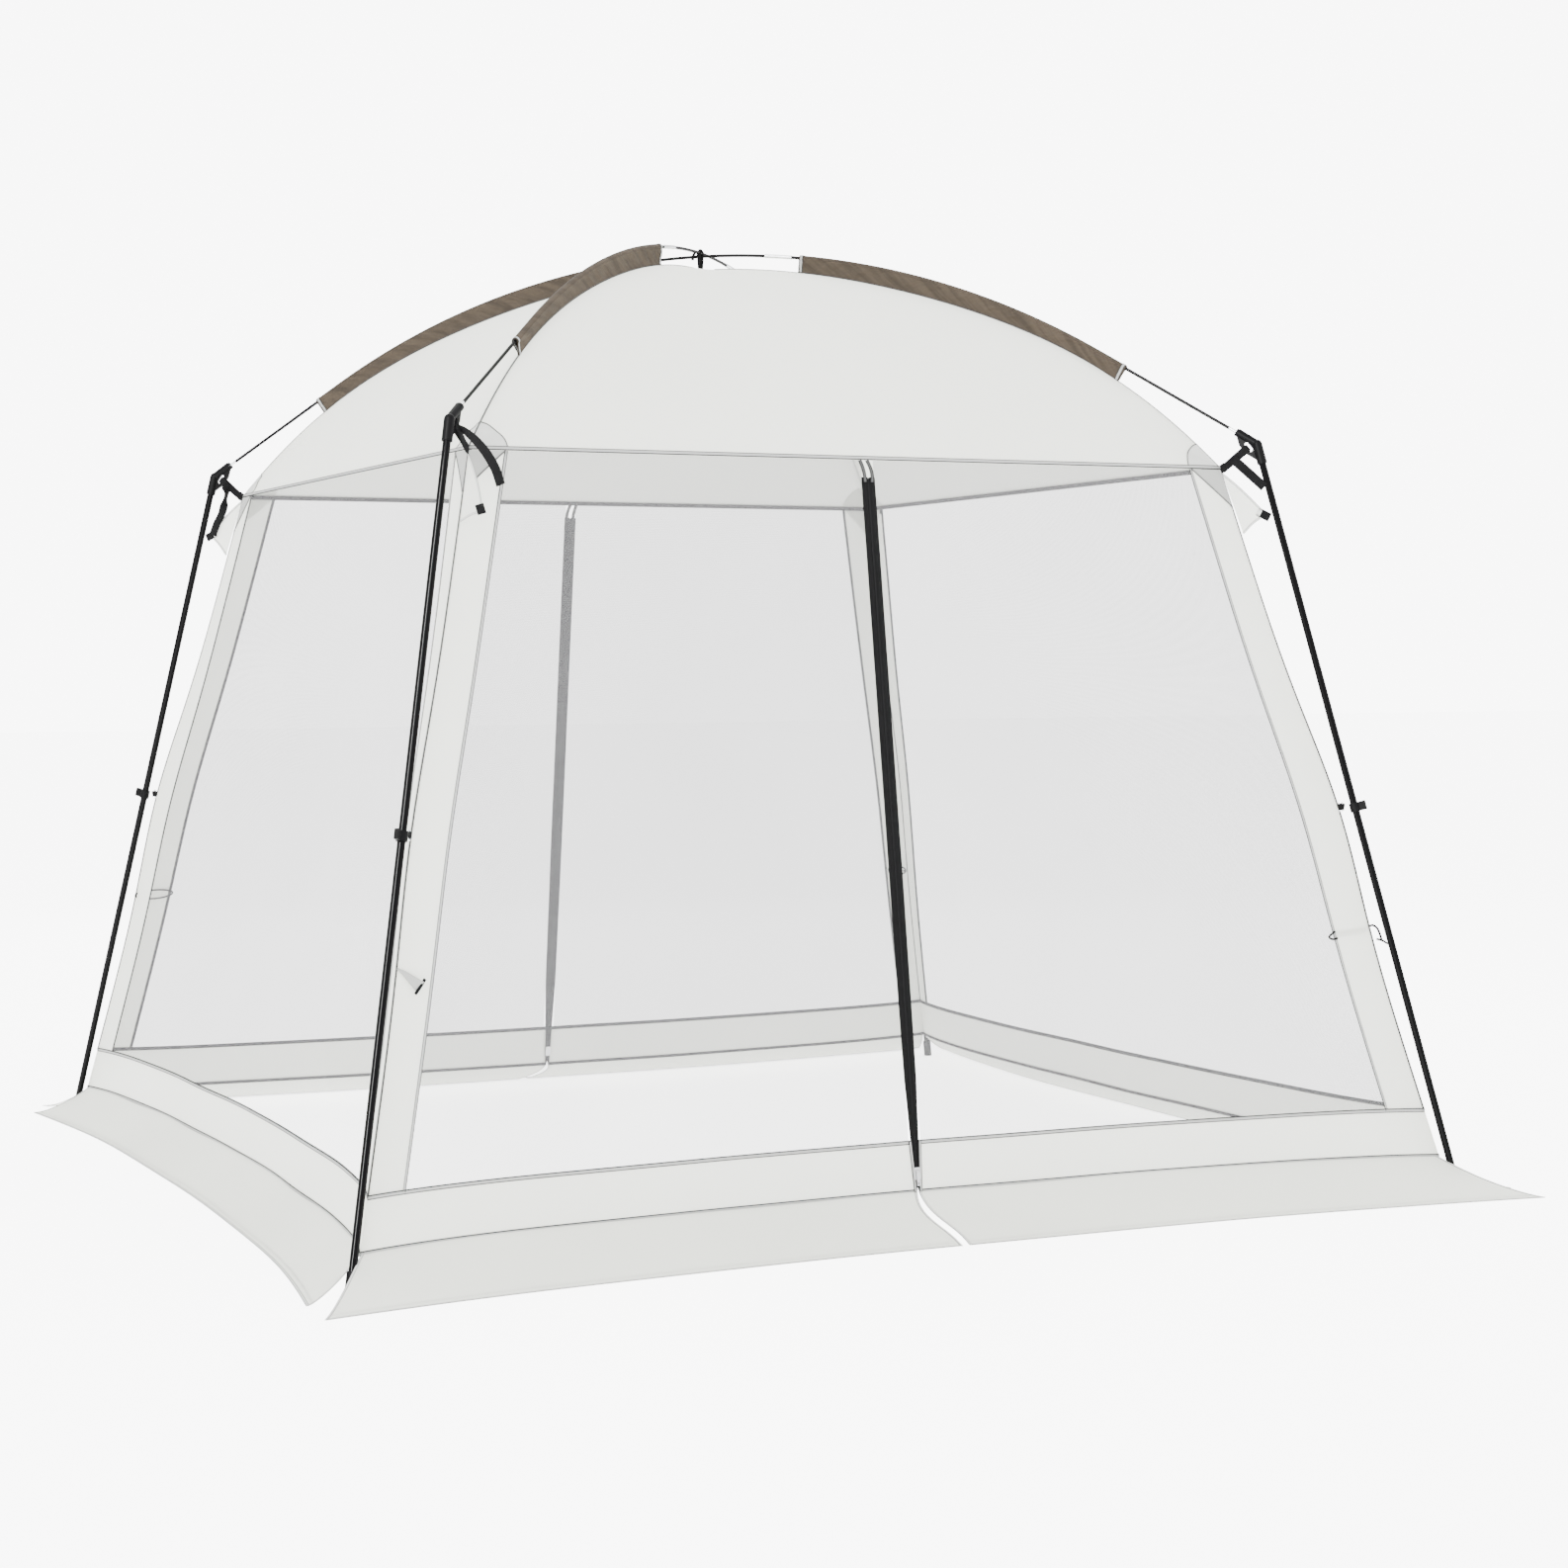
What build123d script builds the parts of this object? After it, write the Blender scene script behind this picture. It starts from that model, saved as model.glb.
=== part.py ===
from build123d import *
import math
import os

# A square screen house: two crossed fibreglass poles and four splayed steel legs carry an inner
# tent of canopy, mesh walls, lower bands and ground skirts. Millimetres, +Z up. The origin is on
# the ground under the crown, and the front door faces -Y.

# Legs, measured on a square around the origin
FOOT_HALF = 1500.0
LEG_RIM_HALF = 1135.0
LEG_RIM_Z = 1912.0
LEG_INSERT = 38.0
LEG_JOINT = 940.0
TUBE_D = 19.0
TUBE_BORE = 17.0
SWAGE_D = 16.6
SWAGE_BORE = 14.6
SWAGE_LENGTH = 80.0
SWAGE_STEP = 8.0
CAP_D = 26.0
CAP_LENGTH = 55.0
CAP_FLOOR = 12.0
CAP_CHAMFER = 1.5
SLIP = 0.3

# Roof poles, measured along and up in the upright plane through two opposite corners
CROWN_Z = 2549.0
POLE_D = 8.5
POLE_BORE = 5.0
POLE_CROSSING = 9.5
POLE_MOUTH_R = 1535.0
POLE_MOUTH_Z = 1998.0
POLE_SLOPE = 0.60
POLE_SECTIONS = 7
SECTION_GAP = 1.0
FERRULE_D = 11.0
FERRULE_BORE = 8.9
FERRULE_LENGTH = 80.0
TIP_D = 7.0
TIP_LENGTH = 46.0
TIP_SHOWING = 22.0
TIP_CHAMFER = 1.0

# Hubs
POLE_SOCKET_D = 21.0
LEG_SOCKET_D = 26.0
ELBOW_D = 25.0
HUB_WEB = 8.0
HUB_WEB_OUTLINE = [
    (1545, 2006),
    (1592, 1976),
    (1609, 1922),
    (1590, 1922),
    (1563, 1938),
    (1543, 1962),
    (1535, 1990),
]
HUB_HOLE = (1568.0, 1957.0)
HUB_HOLE_SIZE = (30.0, 12.0)
HUB_HOLE_TURN = -51.0
SOCKET_SPARE = 2.0

# Cloth
EAVE_HALF = 1054.0
EAVE_Z = 1905.0
WALL_TOP_Z = 1897.0
BAND_Z = 204.0
SEAM_Z = 85.0
GROUND_CLEARANCE = 2.0
CORNER_SPREAD = 0.2263
FRONT_BOW = 0.080
SIDE_BOW = 0.057
BOW_BROAD = 0.64
BOW_SHARP_POWER = 9
STRIP_POINTS = 13
CANOPY_PROFILE = [(0, 2506), (310, 2457), (600, 2335), (855, 2148), (1054, 1905)]
CANOPY_THICKNESS = 4.0
CLOTH = 2.0
SEAM_GAP = 1.0
WING = 95.0
BAND_END = 6.0
SKIRT_THICKNESS = 7.0
SKIRT_START = 1440.0
FRONT_SKIRT = (1610.0, 1700.0, 1605.0)
SIDE_SKIRT = (1555.0, 1620.0, 1520.0)
CORNER_SECTIONS = 6

# Sleeves on the poles
SLEEVE_START = 301.0
SLEEVE_END = 1301.0
SLEEVE_D = 16.0
SLEEVE_BORE = 12.6
FIN_DEPTH = 32.0
FIN_WIDTH = 3.0

# Zips in the middle of the front and back walls
ZIP_TOP_Z = 1868.0
ZIP_FOOT_Z = 88.0
TAPE_INNER = 1.5
TAPE_WIDTH = 14.0
TAPE_THICKNESS = 1.6
BEAD_WIDTH = 3.0
BEAD_THICKNESS = 3.0
SLIDER_Z = 128.0
SLIDER_WIDTH = 17.0
SLIDER_LENGTH = 30.0
SLIDER_CORNER = 4.0
PLATE_NEAR = 3.0
PLATE_FAR = 5.5
BRIDGE_WIDTH = 2.0
BRIDGE_LENGTH = 8.0
PIN_Y = 6.0
PIN_OUT = 8.5
PIN_D = 2.0
LUG_NEAR = 5.0
LUG_FAR = 7.0
LUG_D = 5.0
EYE_D = 5.2
EYE_BORE = 2.6
TAB_WIDTH = 8.0
TAB_THICKNESS = 2.0
TAB_LENGTH = 36.0
TAB_SLOT = (6.0, 3.0)
TAB_SLOT_FROM_END = 6.0

# Straps, clips and ties
CLIP_Z = 1000.0
CLIP_D = 27.0
CLIP_LENGTH = 24.0
CLIP_ARM = 30.0
CLIP_ARM_WIDTH = 10.0
CLIP_STRAP_GAPS = (2.0, 4.0)
WEBBING = 2.0
WEBBING_WIDTH = 20.0
STRAP_START = -86.0
STRAP_SPLIT = -52.0
STRAP_END = 3.0
STRAP_HALF = 6.3
STRAP_SLOPE = (55.0, 45.0)
STRAP_TAIL = [(1524, 1926), (1538, 1914), (1606, 1852), (1594, 1838), (1522, 1902)]
GUY_FLAP = [(1500, 1888), (1622, 1778), (1618, 1762), (1556, 1728)]
TIE_Z = 655.0
TIE_SIZE = (3.0, 46.0, 14.0)
TIE_OUT = 8.0
CROWN_LOOP = (30.0, 8.0)
CROWN_LOOP_WINDOW = 22.0
CROWN_LOOP_Z = (2510.0, 2566.0)
CROWN_WINDOW_Z = (2538.5, 2560.0)

CORNERS = {"front_left": 225, "front_right": 315, "back_left": 135, "back_right": 45}
WALLS = {"front": 270, "back": 90, "left": 180, "right": 0}
POLES = {"1": (225, CROWN_Z + POLE_CROSSING / 2), "2": (135, CROWN_Z - POLE_CROSSING / 2)}
POLE_OF_CORNER = {225: "1", 45: "1", 135: "2", 315: "2"}
DOOR_HALVES = {
    "front_left": (270, -1),
    "front_right": (270, 1),
    "back_left": (90, 1),
    "back_right": (90, -1),
}

os.makedirs("parts", exist_ok=True)


def save(part, label):
    """Labels a finished piece and writes its STEP file."""
    part.label = label
    export_step(part, f"parts/{label}.step")


def joined(pieces):
    """One part that holds several separate solids."""
    with BuildPart() as group:
        add(pieces)
    return group.part


def direction(angle):
    """The level unit vector at an angle from +X."""
    turn = math.radians(angle)
    return Vector(math.cos(turn), math.sin(turn), 0)


def side_plane(angle):
    """The upright plane through the centre: x runs outwards at the angle, and y runs up."""
    return Plane(origin=(0, 0, 0), x_dir=direction(angle), z_dir=direction(angle - 90))


def level_plane(angle, z):
    """The level plane at a height: x runs outwards at the angle."""
    return Plane(origin=(0, 0, z), x_dir=direction(angle), z_dir=(0, 0, 1))


# Legs


def leg_station(angle, along):
    """The plane across a leg at a distance up from its foot, with z up the leg."""
    side = side_plane(angle)
    foot = side.from_local_coords((FOOT_HALF * math.sqrt(2), 0, 0))
    rim = side.from_local_coords((LEG_RIM_HALF * math.sqrt(2), LEG_RIM_Z, 0))
    up = (rim - foot).normalized()
    return Plane(origin=foot + up * along, x_dir=side.z_dir, z_dir=up)


LEG_LENGTH = math.hypot((FOOT_HALF - LEG_RIM_HALF) * math.sqrt(2), LEG_RIM_Z)
LEG_RISE = LEG_RIM_Z / LEG_LENGTH


def tube(station, outer, bore, length):
    """A straight tube that starts on a plane."""
    with BuildPart() as pipe:
        with BuildSketch(station):
            Circle(outer / 2)
            Circle(bore / 2, mode=Mode.SUBTRACT)
        extrude(amount=length)
    return pipe.part


def leg_lower(angle):
    """The lower leg tube, from inside the foot cap to the joint."""
    return tube(leg_station(angle, CAP_FLOOR + SLIP), TUBE_D, TUBE_BORE, LEG_JOINT - CAP_FLOOR - 2 * SLIP)


def leg_upper(angle):
    """The upper leg tube, with its swaged end inside the lower one and its top inside the hub."""
    with BuildPart() as leg:
        with BuildSketch(leg_station(angle, LEG_JOINT)):
            Circle(TUBE_D / 2)
            Circle(TUBE_BORE / 2, mode=Mode.SUBTRACT)
        extrude(amount=LEG_LENGTH + LEG_INSERT - LEG_JOINT)
        with BuildSketch(leg_station(angle, LEG_JOINT)):
            Circle(TUBE_D / 2)
            Circle(SWAGE_BORE / 2, mode=Mode.SUBTRACT)
        extrude(amount=SWAGE_STEP)
        with BuildSketch(leg_station(angle, LEG_JOINT - SWAGE_LENGTH)):
            Circle(SWAGE_D / 2)
            Circle(SWAGE_BORE / 2, mode=Mode.SUBTRACT)
        extrude(amount=SWAGE_LENGTH)
    return leg.part


def foot_cap(angle):
    """A moulded cup on the end of a leg, cut flat where it stands on the ground."""
    with BuildPart() as cap:
        with BuildSketch(leg_station(angle, -CAP_D / 2)):
            Circle(CAP_D / 2)
        extrude(amount=CAP_LENGTH + CAP_D / 2)
        chamfer(cap.edges().sort_by(Axis.Z)[-1], CAP_CHAMFER)
        with BuildSketch(leg_station(angle, CAP_FLOOR)):
            Circle(TUBE_D / 2 + SLIP)
        extrude(amount=CAP_LENGTH, mode=Mode.SUBTRACT)
        split(bisect_by=Plane.XY, keep=Keep.TOP)
    return cap.part


# Roof poles


POLE_PITCH = math.atan(POLE_SLOPE)


def pole_radius(crown):
    """The radius of the arch that leaves the crown level and meets the straight end of the pole."""
    reach = POLE_MOUTH_R - (crown - POLE_MOUTH_Z) / POLE_SLOPE
    return reach / math.tan(POLE_PITCH / 2)


def pole_length(crown):
    """The distance along the pole from the crown to the mouth of the hub."""
    radius = pole_radius(crown)
    straight = (POLE_MOUTH_R - radius * math.sin(POLE_PITCH)) / math.cos(POLE_PITCH)
    return radius * POLE_PITCH + straight


def pole_path(angle, crown, start, end):
    """The pole's centreline between two distances from the crown, in the plane of its corner."""
    radius = pole_radius(crown)
    arc_end = min(end, radius * POLE_PITCH)
    turn = math.degrees((arc_end - start) / radius)
    with BuildLine(side_plane(angle)) as path:
        arch = CenterArc((0, crown - radius), radius, 90 - math.degrees(start / radius), -turn)
        if end > arc_end:
            finish = (
                POLE_MOUTH_R + (end - pole_length(crown)) * math.cos(POLE_PITCH),
                POLE_MOUTH_Z - (end - pole_length(crown)) * math.sin(POLE_PITCH),
            )
            Line((radius * math.sin(POLE_PITCH), crown - radius * (1 - math.cos(POLE_PITCH))), finish)
    return path.line


def pole_station(angle, path):
    """The plane across the start of a pole path, with y up and away from the tent."""
    return Plane(origin=path @ 0, x_dir=-side_plane(angle).z_dir, z_dir=path % 0)


def pole_tube(angle, crown, start, end, outer, bore):
    """A tube along the pole between two distances from the crown."""
    path = pole_path(angle, crown, start, end)
    with BuildPart() as pipe:
        with BuildSketch(pole_station(angle, path)):
            Circle(outer / 2)
            Circle(bore / 2, mode=Mode.SUBTRACT)
        sweep(path=path)
    return pipe.part


def section_ends(crown, number):
    """Where a pole section starts and ends, counted outwards from the middle section, 0."""
    length = 2 * pole_length(crown) / POLE_SECTIONS
    return (number - 0.5) * length + SECTION_GAP / 2, (number + 0.5) * length - SECTION_GAP / 2


def pole_pair(name, number):
    """The two sections of one pole that stand opposite each other."""
    angle, crown = POLES[name]
    start, end = section_ends(crown, number)
    if number == POLE_SECTIONS // 2:
        end -= TIP_SHOWING
    sides = [pole_tube(turned, crown, start, end, POLE_D, POLE_BORE) for turned in (angle, angle + 180)]
    return joined(sides)


def middle_sections():
    """The middle sections of the two poles, one above the other where they cross."""
    sections = []
    for angle, crown in POLES.values():
        sections.append(pole_tube(angle, crown, *section_ends(crown, 0), POLE_D, POLE_BORE))
    return joined(sections)


def ferrules():
    """The steel sleeves over the joints between pole sections."""
    rings = []
    for angle, crown in POLES.values():
        for number in range(1, POLE_SECTIONS // 2 + 1):
            joint = section_ends(crown, number)[0] - SECTION_GAP / 2
            near, far = joint - FERRULE_LENGTH / 2, joint + FERRULE_LENGTH / 2
            for turned in (angle, angle + 180):
                rings.append(pole_tube(turned, crown, near, far, FERRULE_D, FERRULE_BORE))
    return joined(rings)


def sleeve(angle):
    """The cloth tube on one half of a pole, with the fin that is sewn to the canopy's hip."""
    crown = POLES[POLE_OF_CORNER[angle]][1]
    path = pole_path(angle, crown, SLEEVE_START, SLEEVE_END)
    with BuildPart() as cover:
        with BuildSketch(pole_station(angle, path)):
            Circle(SLEEVE_D / 2)
            with Locations((0, -FIN_DEPTH / 2)):
                Rectangle(FIN_WIDTH, FIN_DEPTH)
            Circle(SLEEVE_BORE / 2, mode=Mode.SUBTRACT)
        sweep(path=path)
    return cover.part


# Hubs


def pole_socket_plane(angle):
    """The plane across the mouth of a hub's pole socket, with z into the hub."""
    side = side_plane(angle)
    mouth = side.from_local_coords((POLE_MOUTH_R, POLE_MOUTH_Z, 0))
    inside = side.from_local_coords((POLE_MOUTH_R + 1, POLE_MOUTH_Z - POLE_SLOPE, 0))
    return Plane(origin=mouth, x_dir=side.z_dir, z_dir=inside - mouth)


def pole_tip(angle):
    """The steel tip of a pole, plugged into its hub."""
    with BuildPart() as tip:
        with BuildSketch(pole_socket_plane(angle).offset(-TIP_SHOWING)):
            Circle(TIP_D / 2)
        extrude(amount=TIP_SHOWING + TIP_LENGTH)
        chamfer(tip.faces().sort_by(Axis.Z)[0].edges(), TIP_CHAMFER)
    return tip.part


def elbow_point():
    """Where the pole's line and the leg's line cross, in the plane of a corner."""
    foot = FOOT_HALF * math.sqrt(2)
    lean = (FOOT_HALF - LEG_RIM_HALF) * math.sqrt(2) / LEG_RIM_Z
    across = (foot - lean * (POLE_MOUTH_Z + POLE_SLOPE * POLE_MOUTH_R)) / (1 - lean * POLE_SLOPE)
    return across, POLE_MOUTH_Z - POLE_SLOPE * (across - POLE_MOUTH_R)


def hub(angle):
    """A moulded elbow with a socket for the pole, one for the leg, and a web with a strap hole."""
    elbow = elbow_point()
    centre = side_plane(angle).from_local_coords((elbow[0], elbow[1], 0))
    pole_reach = math.hypot(elbow[0] - POLE_MOUTH_R, elbow[1] - POLE_MOUTH_Z)
    leg_reach = elbow[1] / LEG_RISE - LEG_LENGTH
    with BuildPart() as body:
        with BuildSketch(side_plane(angle)):
            with BuildLine():
                Polyline(*HUB_WEB_OUTLINE, close=True)
            make_face()
        extrude(amount=HUB_WEB / 2, both=True)
        with BuildSketch(pole_socket_plane(angle)):
            Circle(POLE_SOCKET_D / 2)
        extrude(amount=pole_reach)
        with BuildSketch(leg_station(angle, LEG_LENGTH)):
            Circle(LEG_SOCKET_D / 2)
        extrude(amount=leg_reach)
        with Locations(centre):
            Sphere(ELBOW_D / 2)
        with BuildSketch(side_plane(angle)):
            with Locations(HUB_HOLE):
                SlotOverall(*HUB_HOLE_SIZE, rotation=HUB_HOLE_TURN)
        extrude(amount=HUB_WEB, both=True, mode=Mode.SUBTRACT)
        with BuildSketch(pole_socket_plane(angle)):
            Circle(TIP_D / 2 + SLIP)
        extrude(amount=TIP_LENGTH + SOCKET_SPARE, mode=Mode.SUBTRACT)
        with BuildSketch(leg_station(angle, LEG_LENGTH)):
            Circle(TUBE_D / 2 + SLIP)
        extrude(amount=LEG_INSERT + SOCKET_SPARE, mode=Mode.SUBTRACT)
    return body.part


# Canopy and walls


def corner_half(z):
    """Half of the square that the walls' corners make at a height."""
    return EAVE_HALF + (EAVE_Z - z) * CORNER_SPREAD


def wall_out(angle, z, across):
    """How far out a wall stands at a height and a place across it. It bows in between its corners:
    broadly over its width, and sharply beside each corner."""
    share = abs(across) / corner_half(z)
    bow = (FRONT_BOW if angle in (90, 270) else SIDE_BOW) * (EAVE_Z - z)
    rise = BOW_BROAD * share**2 + (1 - BOW_BROAD) * share**BOW_SHARP_POWER
    return corner_half(z) - bow * (1 - rise)


def canopy_gore(angle):
    """One of the four roof panels, arched from its eave to the crown and cut along two hips."""
    inner = [(out, z - CANOPY_THICKNESS) for out, z in reversed(CANOPY_PROFILE)]
    with BuildPart() as gore:
        with BuildSketch(side_plane(angle)):
            with BuildLine():
                Spline(*CANOPY_PROFILE)
                Line(CANOPY_PROFILE[-1], inner[0])
                Spline(*inner)
                Line(inner[-1], CANOPY_PROFILE[0])
            make_face()
        extrude(amount=EAVE_HALF, both=True)
        for turn in (-45, 45):
            facing = direction(angle + turn)
            split(bisect_by=Plane(origin=facing * SEAM_GAP / 2, z_dir=facing), keep=Keep.TOP)
    return gore.part


def corner_outline(angle, z):
    """The L-shaped section of a corner panel at a height, with its two wings bent as the walls are."""
    corner = corner_half(z)
    turned = direction(angle)
    right, back = math.copysign(1, turned.X), math.copysign(1, turned.Y)
    middle, end = corner - WING / 2, corner - WING
    points = [
        (corner, corner),
        (middle, wall_out(270, z, middle)),
        (end, wall_out(270, z, end)),
        (end, wall_out(270, z, end) - CLOTH),
        (middle, wall_out(270, z, middle) - CLOTH),
        (corner - CLOTH, corner - CLOTH),
        (wall_out(0, z, middle) - CLOTH, middle),
        (wall_out(0, z, end) - CLOTH, end),
        (wall_out(0, z, end), end),
        (wall_out(0, z, middle), middle),
    ]
    with BuildSketch(Plane.XY.offset(z)) as section:
        with BuildLine():
            Polyline(*[(x * right, y * back) for x, y in points], close=True)
        make_face()
    return section.sketch


def corner_panel(angle):
    """The cloth angle down one corner of the walls, from the eave to the lower band."""
    fall = (WALL_TOP_Z - BAND_Z - SEAM_GAP) / (CORNER_SECTIONS - 1)
    sections = [corner_outline(angle, WALL_TOP_Z - fall * step) for step in range(CORNER_SECTIONS)]
    with BuildPart() as panel:
        loft(sections, ruled=True)
    return panel.part


def strip(angle, z, places, thickness):
    """A thin curved strip on a level plane, through places given as out and across."""
    inner = [(out - thickness, across) for out, across in places]
    with BuildSketch(level_plane(angle, z)) as section:
        with BuildLine():
            Spline(*places)
            Line(places[-1], inner[-1])
            Spline(*reversed(inner))
            Line(inner[0], places[0])
        make_face()
    return section.sketch


def spaced(ends):
    """Evenly spaced places from one end to the other."""
    step = (ends[1] - ends[0]) / (STRIP_POINTS - 1)
    return [ends[0] + step * number for number in range(STRIP_POINTS)]


def wall_strip(angle, z, ends, thickness):
    """A strip of wall at a height."""
    places = [(wall_out(angle, z, across), across) for across in spaced(ends)]
    return strip(angle, z, places, thickness)


def panel_ends(side, inner, outer):
    """The places across the wall where a panel starts and ends; side is 0 for a whole wall."""
    if side == 0:
        return -outer, outer
    return (side * inner, side * outer) if side > 0 else (side * outer, side * inner)


def mesh_panel(angle, side):
    """A mesh panel between the corner panels, or one half of a door beside its zip."""
    inner = TAPE_INNER + TAPE_WIDTH + SEAM_GAP
    sections = []
    for z in (WALL_TOP_Z, BAND_Z + SEAM_GAP):
        outer = corner_half(z) - WING - SEAM_GAP
        sections.append(wall_strip(angle, z, panel_ends(side, inner, outer), CLOTH))
    with BuildPart() as panel:
        loft(sections, ruled=True)
    return panel.part


def lower_panel(angle, side):
    """The band round the foot of a wall and the skirt that spreads from it onto the ground."""
    inner = TAPE_INNER + TAPE_WIDTH + SEAM_GAP
    band = []
    for z in (BAND_Z, SEAM_Z + SEAM_GAP):
        ends = panel_ends(side, inner, corner_half(z) - BAND_END)
        band.append(wall_strip(angle, z, ends, CLOTH))
    reach, corner_out, middle_out = FRONT_SKIRT if angle in (90, 270) else SIDE_SKIRT
    foot = [
        (middle_out + (corner_out - middle_out) * (across / reach) ** 2, across)
        for across in spaced(panel_ends(side, inner, reach))
    ]
    skirt = [
        wall_strip(angle, SEAM_Z, panel_ends(side, inner, SKIRT_START), SKIRT_THICKNESS),
        strip(angle, GROUND_CLEARANCE, foot, SKIRT_THICKNESS),
    ]
    with BuildPart() as panel:
        loft(band, ruled=True)
        loft(skirt, ruled=True)
    return panel.part


# Zips


def zip_plane(angle, z):
    """The plane of a door's zip at a height: x runs across, y up the zip, and z outwards."""
    out = wall_out(angle, z, 0)
    slope = (wall_out(angle, z - 1, 0) - out) * -1
    up = (direction(angle) * slope + Vector(0, 0, 1)).normalized()
    across = direction(angle + 90)
    centre = direction(angle) * (out - CLOTH / 2) + Vector(0, 0, z)
    return Plane(origin=centre, x_dir=across, z_dir=across.cross(up))


ZIP_LENGTH = (ZIP_TOP_Z - ZIP_FOOT_Z) * math.hypot(1, CORNER_SPREAD - FRONT_BOW)


def zip_tape(angle, side):
    """One half of a zip: a woven tape with a bead of coil along its inner edge."""
    foot = zip_plane(angle, ZIP_FOOT_Z)
    with BuildPart() as tape:
        with BuildSketch(foot):
            with Locations((side * (TAPE_INNER + TAPE_WIDTH / 2), ZIP_LENGTH / 2)):
                Rectangle(TAPE_WIDTH, ZIP_LENGTH)
        extrude(amount=TAPE_THICKNESS / 2, both=True)
        with BuildSketch(foot):
            with Locations((side * (TAPE_INNER + BEAD_WIDTH / 2), ZIP_LENGTH / 2)):
                Rectangle(BEAD_WIDTH, ZIP_LENGTH)
        extrude(amount=BEAD_THICKNESS / 2, both=True)
    return tape.part


def zip_slider(angle):
    """The slider: a plate each side of the coil, the bridge between them, and a pin in two lugs."""
    centre = zip_plane(angle, SLIDER_Z)
    across = Plane(origin=centre.origin, x_dir=centre.y_dir, z_dir=centre.x_dir)
    with BuildPart() as slider:
        for near in (PLATE_NEAR, -PLATE_FAR):
            with BuildSketch(centre.offset(near)):
                RectangleRounded(SLIDER_WIDTH, SLIDER_LENGTH, SLIDER_CORNER)
            extrude(amount=PLATE_FAR - PLATE_NEAR)
        with BuildSketch(centre.offset(-PLATE_FAR)):
            with Locations((0, SLIDER_LENGTH / 2 - BRIDGE_LENGTH)):
                Rectangle(BRIDGE_WIDTH, BRIDGE_LENGTH)
        extrude(amount=2 * PLATE_FAR)
        for lug in (-LUG_FAR, LUG_NEAR):
            with BuildSketch(across.offset(lug)):
                with Locations((PIN_Y, PIN_OUT)):
                    Circle(LUG_D / 2)
                with Locations((PIN_Y, (PIN_OUT + PLATE_NEAR) / 2)):
                    Rectangle(LUG_D, PIN_OUT - PLATE_NEAR)
            extrude(amount=LUG_FAR - LUG_NEAR)
        with BuildSketch(across.offset(-LUG_FAR)):
            with Locations((PIN_Y, PIN_OUT)):
                Circle(PIN_D / 2)
        extrude(amount=2 * LUG_FAR)
    return slider.part


def zip_pull(angle):
    """The pull tab: an eye round the slider's pin and a flat tab that hangs from it."""
    centre = zip_plane(angle, SLIDER_Z)
    across = Plane(origin=centre.origin, x_dir=centre.y_dir, z_dir=centre.x_dir)
    with BuildPart() as pull:
        with BuildSketch(across):
            with Locations((PIN_Y, PIN_OUT)):
                Circle(EYE_D / 2)
            with Locations((PIN_Y - TAB_LENGTH / 2, PIN_OUT)):
                Rectangle(TAB_LENGTH, TAB_THICKNESS)
            with Locations((PIN_Y, PIN_OUT)):
                Circle(EYE_BORE / 2, mode=Mode.SUBTRACT)
        extrude(amount=TAB_WIDTH / 2, both=True)
        with BuildSketch(centre.offset(PIN_OUT - TAB_THICKNESS)):
            with Locations((0, PIN_Y - TAB_LENGTH + TAB_SLOT_FROM_END)):
                SlotOverall(*TAB_SLOT, rotation=90)
        extrude(amount=2 * TAB_THICKNESS, mode=Mode.SUBTRACT)
    return pull.part


# Straps, clips and ties


def leg_clip(angle):
    """A collar round the leg with an arm towards the corner of the walls."""
    station = leg_station(angle, CLIP_Z / LEG_RISE)
    with BuildPart() as clip:
        with BuildSketch(station):
            Circle(CLIP_D / 2)
            with Locations((0, CLIP_ARM / 2)):
                Rectangle(CLIP_ARM_WIDTH, CLIP_ARM)
            Circle(TUBE_D / 2 + SLIP, mode=Mode.SUBTRACT)
        extrude(amount=CLIP_LENGTH / 2, both=True)
    return clip.part


def clip_strap(angle):
    """The short webbing between a corner of the walls and the clip's arm."""
    wall = corner_half(CLIP_Z - WEBBING_WIDTH / 2) * math.sqrt(2) + CLIP_STRAP_GAPS[0]
    leg = (FOOT_HALF - (FOOT_HALF - LEG_RIM_HALF) * CLIP_Z / LEG_RIM_Z) * math.sqrt(2)
    end = leg - CLIP_ARM - CLIP_STRAP_GAPS[1]
    with BuildPart() as strap:
        with BuildSketch(side_plane(angle)):
            with Locations(((wall + end) / 2, CLIP_Z)):
                Rectangle(end - wall, WEBBING_WIDTH)
        extrude(amount=WEBBING / 2, both=True)
    return strap.part


def hub_strap(angle):
    """The webbing from the canopy's corner, looped through the hub's hole, with its free tail."""
    side = side_plane(angle)
    hole = side.from_local_coords((HUB_HOLE[0], HUB_HOLE[1], 0))
    along = (side.x_dir * STRAP_SLOPE[0] + side.y_dir * STRAP_SLOPE[1]).normalized()
    loop = Plane(origin=hole, x_dir=along, z_dir=along.cross(side.z_dir))
    loop_length = STRAP_END - STRAP_SPLIT
    with BuildPart() as strap:
        with BuildSketch(loop):
            with Locations(((STRAP_SPLIT + STRAP_END) / 2, 0)):
                Rectangle(loop_length, 2 * STRAP_HALF)
                Rectangle(loop_length - 2 * WEBBING, 2 * (STRAP_HALF - WEBBING), mode=Mode.SUBTRACT)
            with Locations(((STRAP_START + STRAP_SPLIT + WEBBING) / 2, 0)):
                Rectangle(STRAP_SPLIT + WEBBING - STRAP_START, WEBBING)
        extrude(amount=WEBBING_WIDTH / 2, both=True)
        with BuildSketch(side.offset(STRAP_HALF - WEBBING)):
            with BuildLine():
                Polyline(*STRAP_TAIL, close=True)
            make_face()
        extrude(amount=WEBBING)
    return strap.part


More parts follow.
